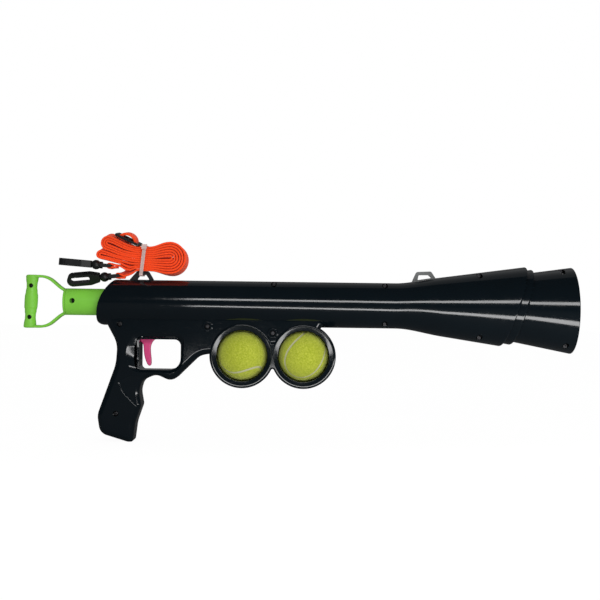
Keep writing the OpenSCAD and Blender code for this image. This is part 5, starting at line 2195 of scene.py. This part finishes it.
@dataclass
class Mechanism:
    """What works inside: springs, rod, striker, bush and catch."""

    paints: tuple[tuple[str, ...], ...] = (
        ("rear_bush", "rod_guide", "push_rod", "coupler_pin", "trigger_pin", "catch_block"),
        ("rod_coupler", "striker"), ("striker_pad", "buffer_ring"))

    def build(self) -> None:
        """Winds the two springs and paints the plain turned pieces."""
        Coil("main_spring", "drive_spring", "pull_slide", 10.29, 2.4, 191.8, 18, 1, (245.9, 0, 0), "X",
             0.427).build()
        Coil("small_spring", "catch_spring", "catch_slide", 2.6, 0.8, 5.95, 4, 0.5, (102, 0, -43.3), "Z",
             0.387).build()
        for nodes, finish in zip(self.paints, (STEEL, GREEN, RUBBER)):
            repaint(nodes, finish)


# --- Studio ---


@dataclass
class Studio:
    """Floor, background, lamps and the camera at the photograph's view."""

    look_at: Pair = (260.0, 6.0)
    distance: float = 1.45
    lens: float = 68.0
    roll: float = 0.75
    strip_y: float = -1.2
    gloss_front: float = 0.02
    gloss_back: float = 0.14
    fill: float = 0.72
    floor_half: float = 6.0

    def camera(self) -> None:
        """Makes the camera level with the barrel, turned a little about its view."""
        data = bpy.data.cameras.new("camera")
        data.lens = self.lens
        data.sensor_width = 36.0
        data.clip_start, data.clip_end = 0.05, 20
        camera = bpy.data.objects.new("camera", data)
        bpy.context.scene.collection.objects.link(camera)
        target = at(self.look_at[0], 0, self.look_at[1])
        turn = Matrix.Rotation(-math.radians(self.roll), 4, "Y") @ Matrix.Rotation(math.radians(90), 4, "X")
        camera.matrix_world = Matrix.Translation(target - Vector((0, self.distance, 0))) @ turn
        bpy.context.scene.camera = camera

    def strip(self, name: str, start: Vector, end: Vector, width: float, light: float,
              target: Vector) -> None:
        """Hangs one rectangular lamp along a line.

        Args:
            name: The lamp's name.
            start: The line's left end, in metres.
            end: The line's right end.
            width: Width across the line.
            light: How bright its face is, where 1 is white.
            target: What the lamp faces.
        """
        data = bpy.data.lights.new(name, "AREA")
        data.shape = "RECTANGLE"
        data.size, data.size_y = (end - start).length, width
        data.energy = light * math.pi * data.size * data.size_y
        lamp = bpy.data.objects.new(name, data)
        lamp.visible_camera = False
        bpy.context.scene.collection.objects.link(lamp)
        middle = (start + end) / 2
        along = (end - start).normalized()
        back = (middle - target) - along * (middle - target).dot(along)
        back.normalize()
        turn = Matrix((along, back.cross(along), back)).transposed().to_4x4()
        lamp.matrix_world = Matrix.Translation(middle) @ turn

    def lamps(self) -> None:
        """Hangs the strip lamps before the launcher and the broad one over it."""
        axis = at(0, 0, 0).z
        middle = at(300, 0, 0)
        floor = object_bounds()[0].z

        def before(x: float, y: float, z: float) -> Vector:
            """A point in front of the launcher, with its height over the barrel's axis."""
            return Vector((x, y, axis + z))

        self.strip("upper_strip", before(-0.05, self.strip_y, 0.46),
                   before(0.95, self.strip_y, 0.335), 0.17, 8.5, middle)
        self.strip("lower_strip", Vector((0.03, -0.544, floor + 0.05)),
                   Vector((0.65, -0.149, floor + 0.05)), 0.045, 9.5, middle)
        self.strip("overhead", before(-1.0, 1.0, 1.6), before(1.6, 1.0, 1.6), 1.5, 0.13, middle)

    def world(self) -> None:
        """Lights the room: white for the camera, bright behind the launcher and dim before it."""
        world = bpy.data.worlds.new("studio")
        bpy.context.scene.world = world
        world.use_nodes = True
        world.cycles.sampling_method = "NONE"
        tree = Tree(world.node_tree)
        camera, glossy, through = tree.rays()
        way = tree.node("ShaderNodeSeparateXYZ", None,
                        {0: tree.signal("ShaderNodeTexCoord", "Generated")})
        behind = tree.signal("ShaderNodeMapRange", 0, {"interpolation_type": "SMOOTHSTEP"},
                             {"Value": way.outputs[1], "From Min": 0.25, "From Max": 0.95,
                              "To Min": self.gloss_front, "To Max": self.gloss_back})
        seen = tree.math("ADD", glossy, through, clamp=True)
        strength = camera + (1 - camera) * (seen * behind + (1 - seen) * self.fill)
        back = tree.node("ShaderNodeBackground", None, {"Color": (1.0, 1.0, 1.0), "Strength": strength})
        tree.node("ShaderNodeOutputWorld", None, {"Surface": back.outputs[0]})

    def floor(self) -> None:
        """Lays the pale floor under the launcher."""
        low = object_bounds()[0].z
        mesh = bpy.data.meshes.new("floor")
        corners = [(x * self.floor_half, y * self.floor_half, low)
                   for x, y in ((-1, -1), (1, -1), (1, 1), (-1, 1))]
        mesh.from_pydata(corners, [], [(0, 1, 2, 3)])
        piece = linked("floor", mesh)
        shader = Shader("pale_floor")
        camera, glossy, through = shader.rays()
        diffuse = shader.node("ShaderNodeBsdfDiffuse", None, {"Color": (0.06, 0.06, 0.06)})
        other = shader.math("SUBTRACT", 1 - camera, glossy + through, clamp=True)
        strength = camera * 0.95 + glossy * 0.02 + through * 0.3 + other * 0.55
        glow = shader.node("ShaderNodeEmission", None, {"Color": (1.0, 1.0, 1.0), "Strength": strength})
        both = shader.node("ShaderNodeAddShader", None, {0: diffuse.outputs[0], 1: glow.outputs[0]})
        shader.node("ShaderNodeOutputMaterial", None, {"Surface": both.outputs[0]})
        shader.material.cycles.emission_sampling = "NONE"
        mesh.materials.append(shader.material)
        piece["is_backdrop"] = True

    def build(self) -> None:
        """Sets up everything round the launcher."""
        self.camera()
        self.lamps()
        self.world()
        self.floor()
        bpy.context.scene.view_settings.view_transform = "Standard"


def main() -> None:
    """Builds the launcher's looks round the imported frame."""
    logging.basicConfig(level=logging.INFO, format="%(name)s: %(message)s")
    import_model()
    Studio().build()
    Body().build()
    PullHandle().build()
    Trigger().build()
    Ball("rear_felt_ball", "rear_ball", 187.4, (-0.6025, 0.2808, -0.5806, 0.4701), widen=1.8).build()
    Ball("front_felt_ball", "front_ball", 265.2, (0.0983, 0.8931, -0.3383, -0.2797), seed=8).build()
    StrapHank().build()
    ZipTie().build()
    Fittings().build()
    Mechanism().build()
    bpy.context.view_layer.update()


if __name__ == "__main__":
    main()
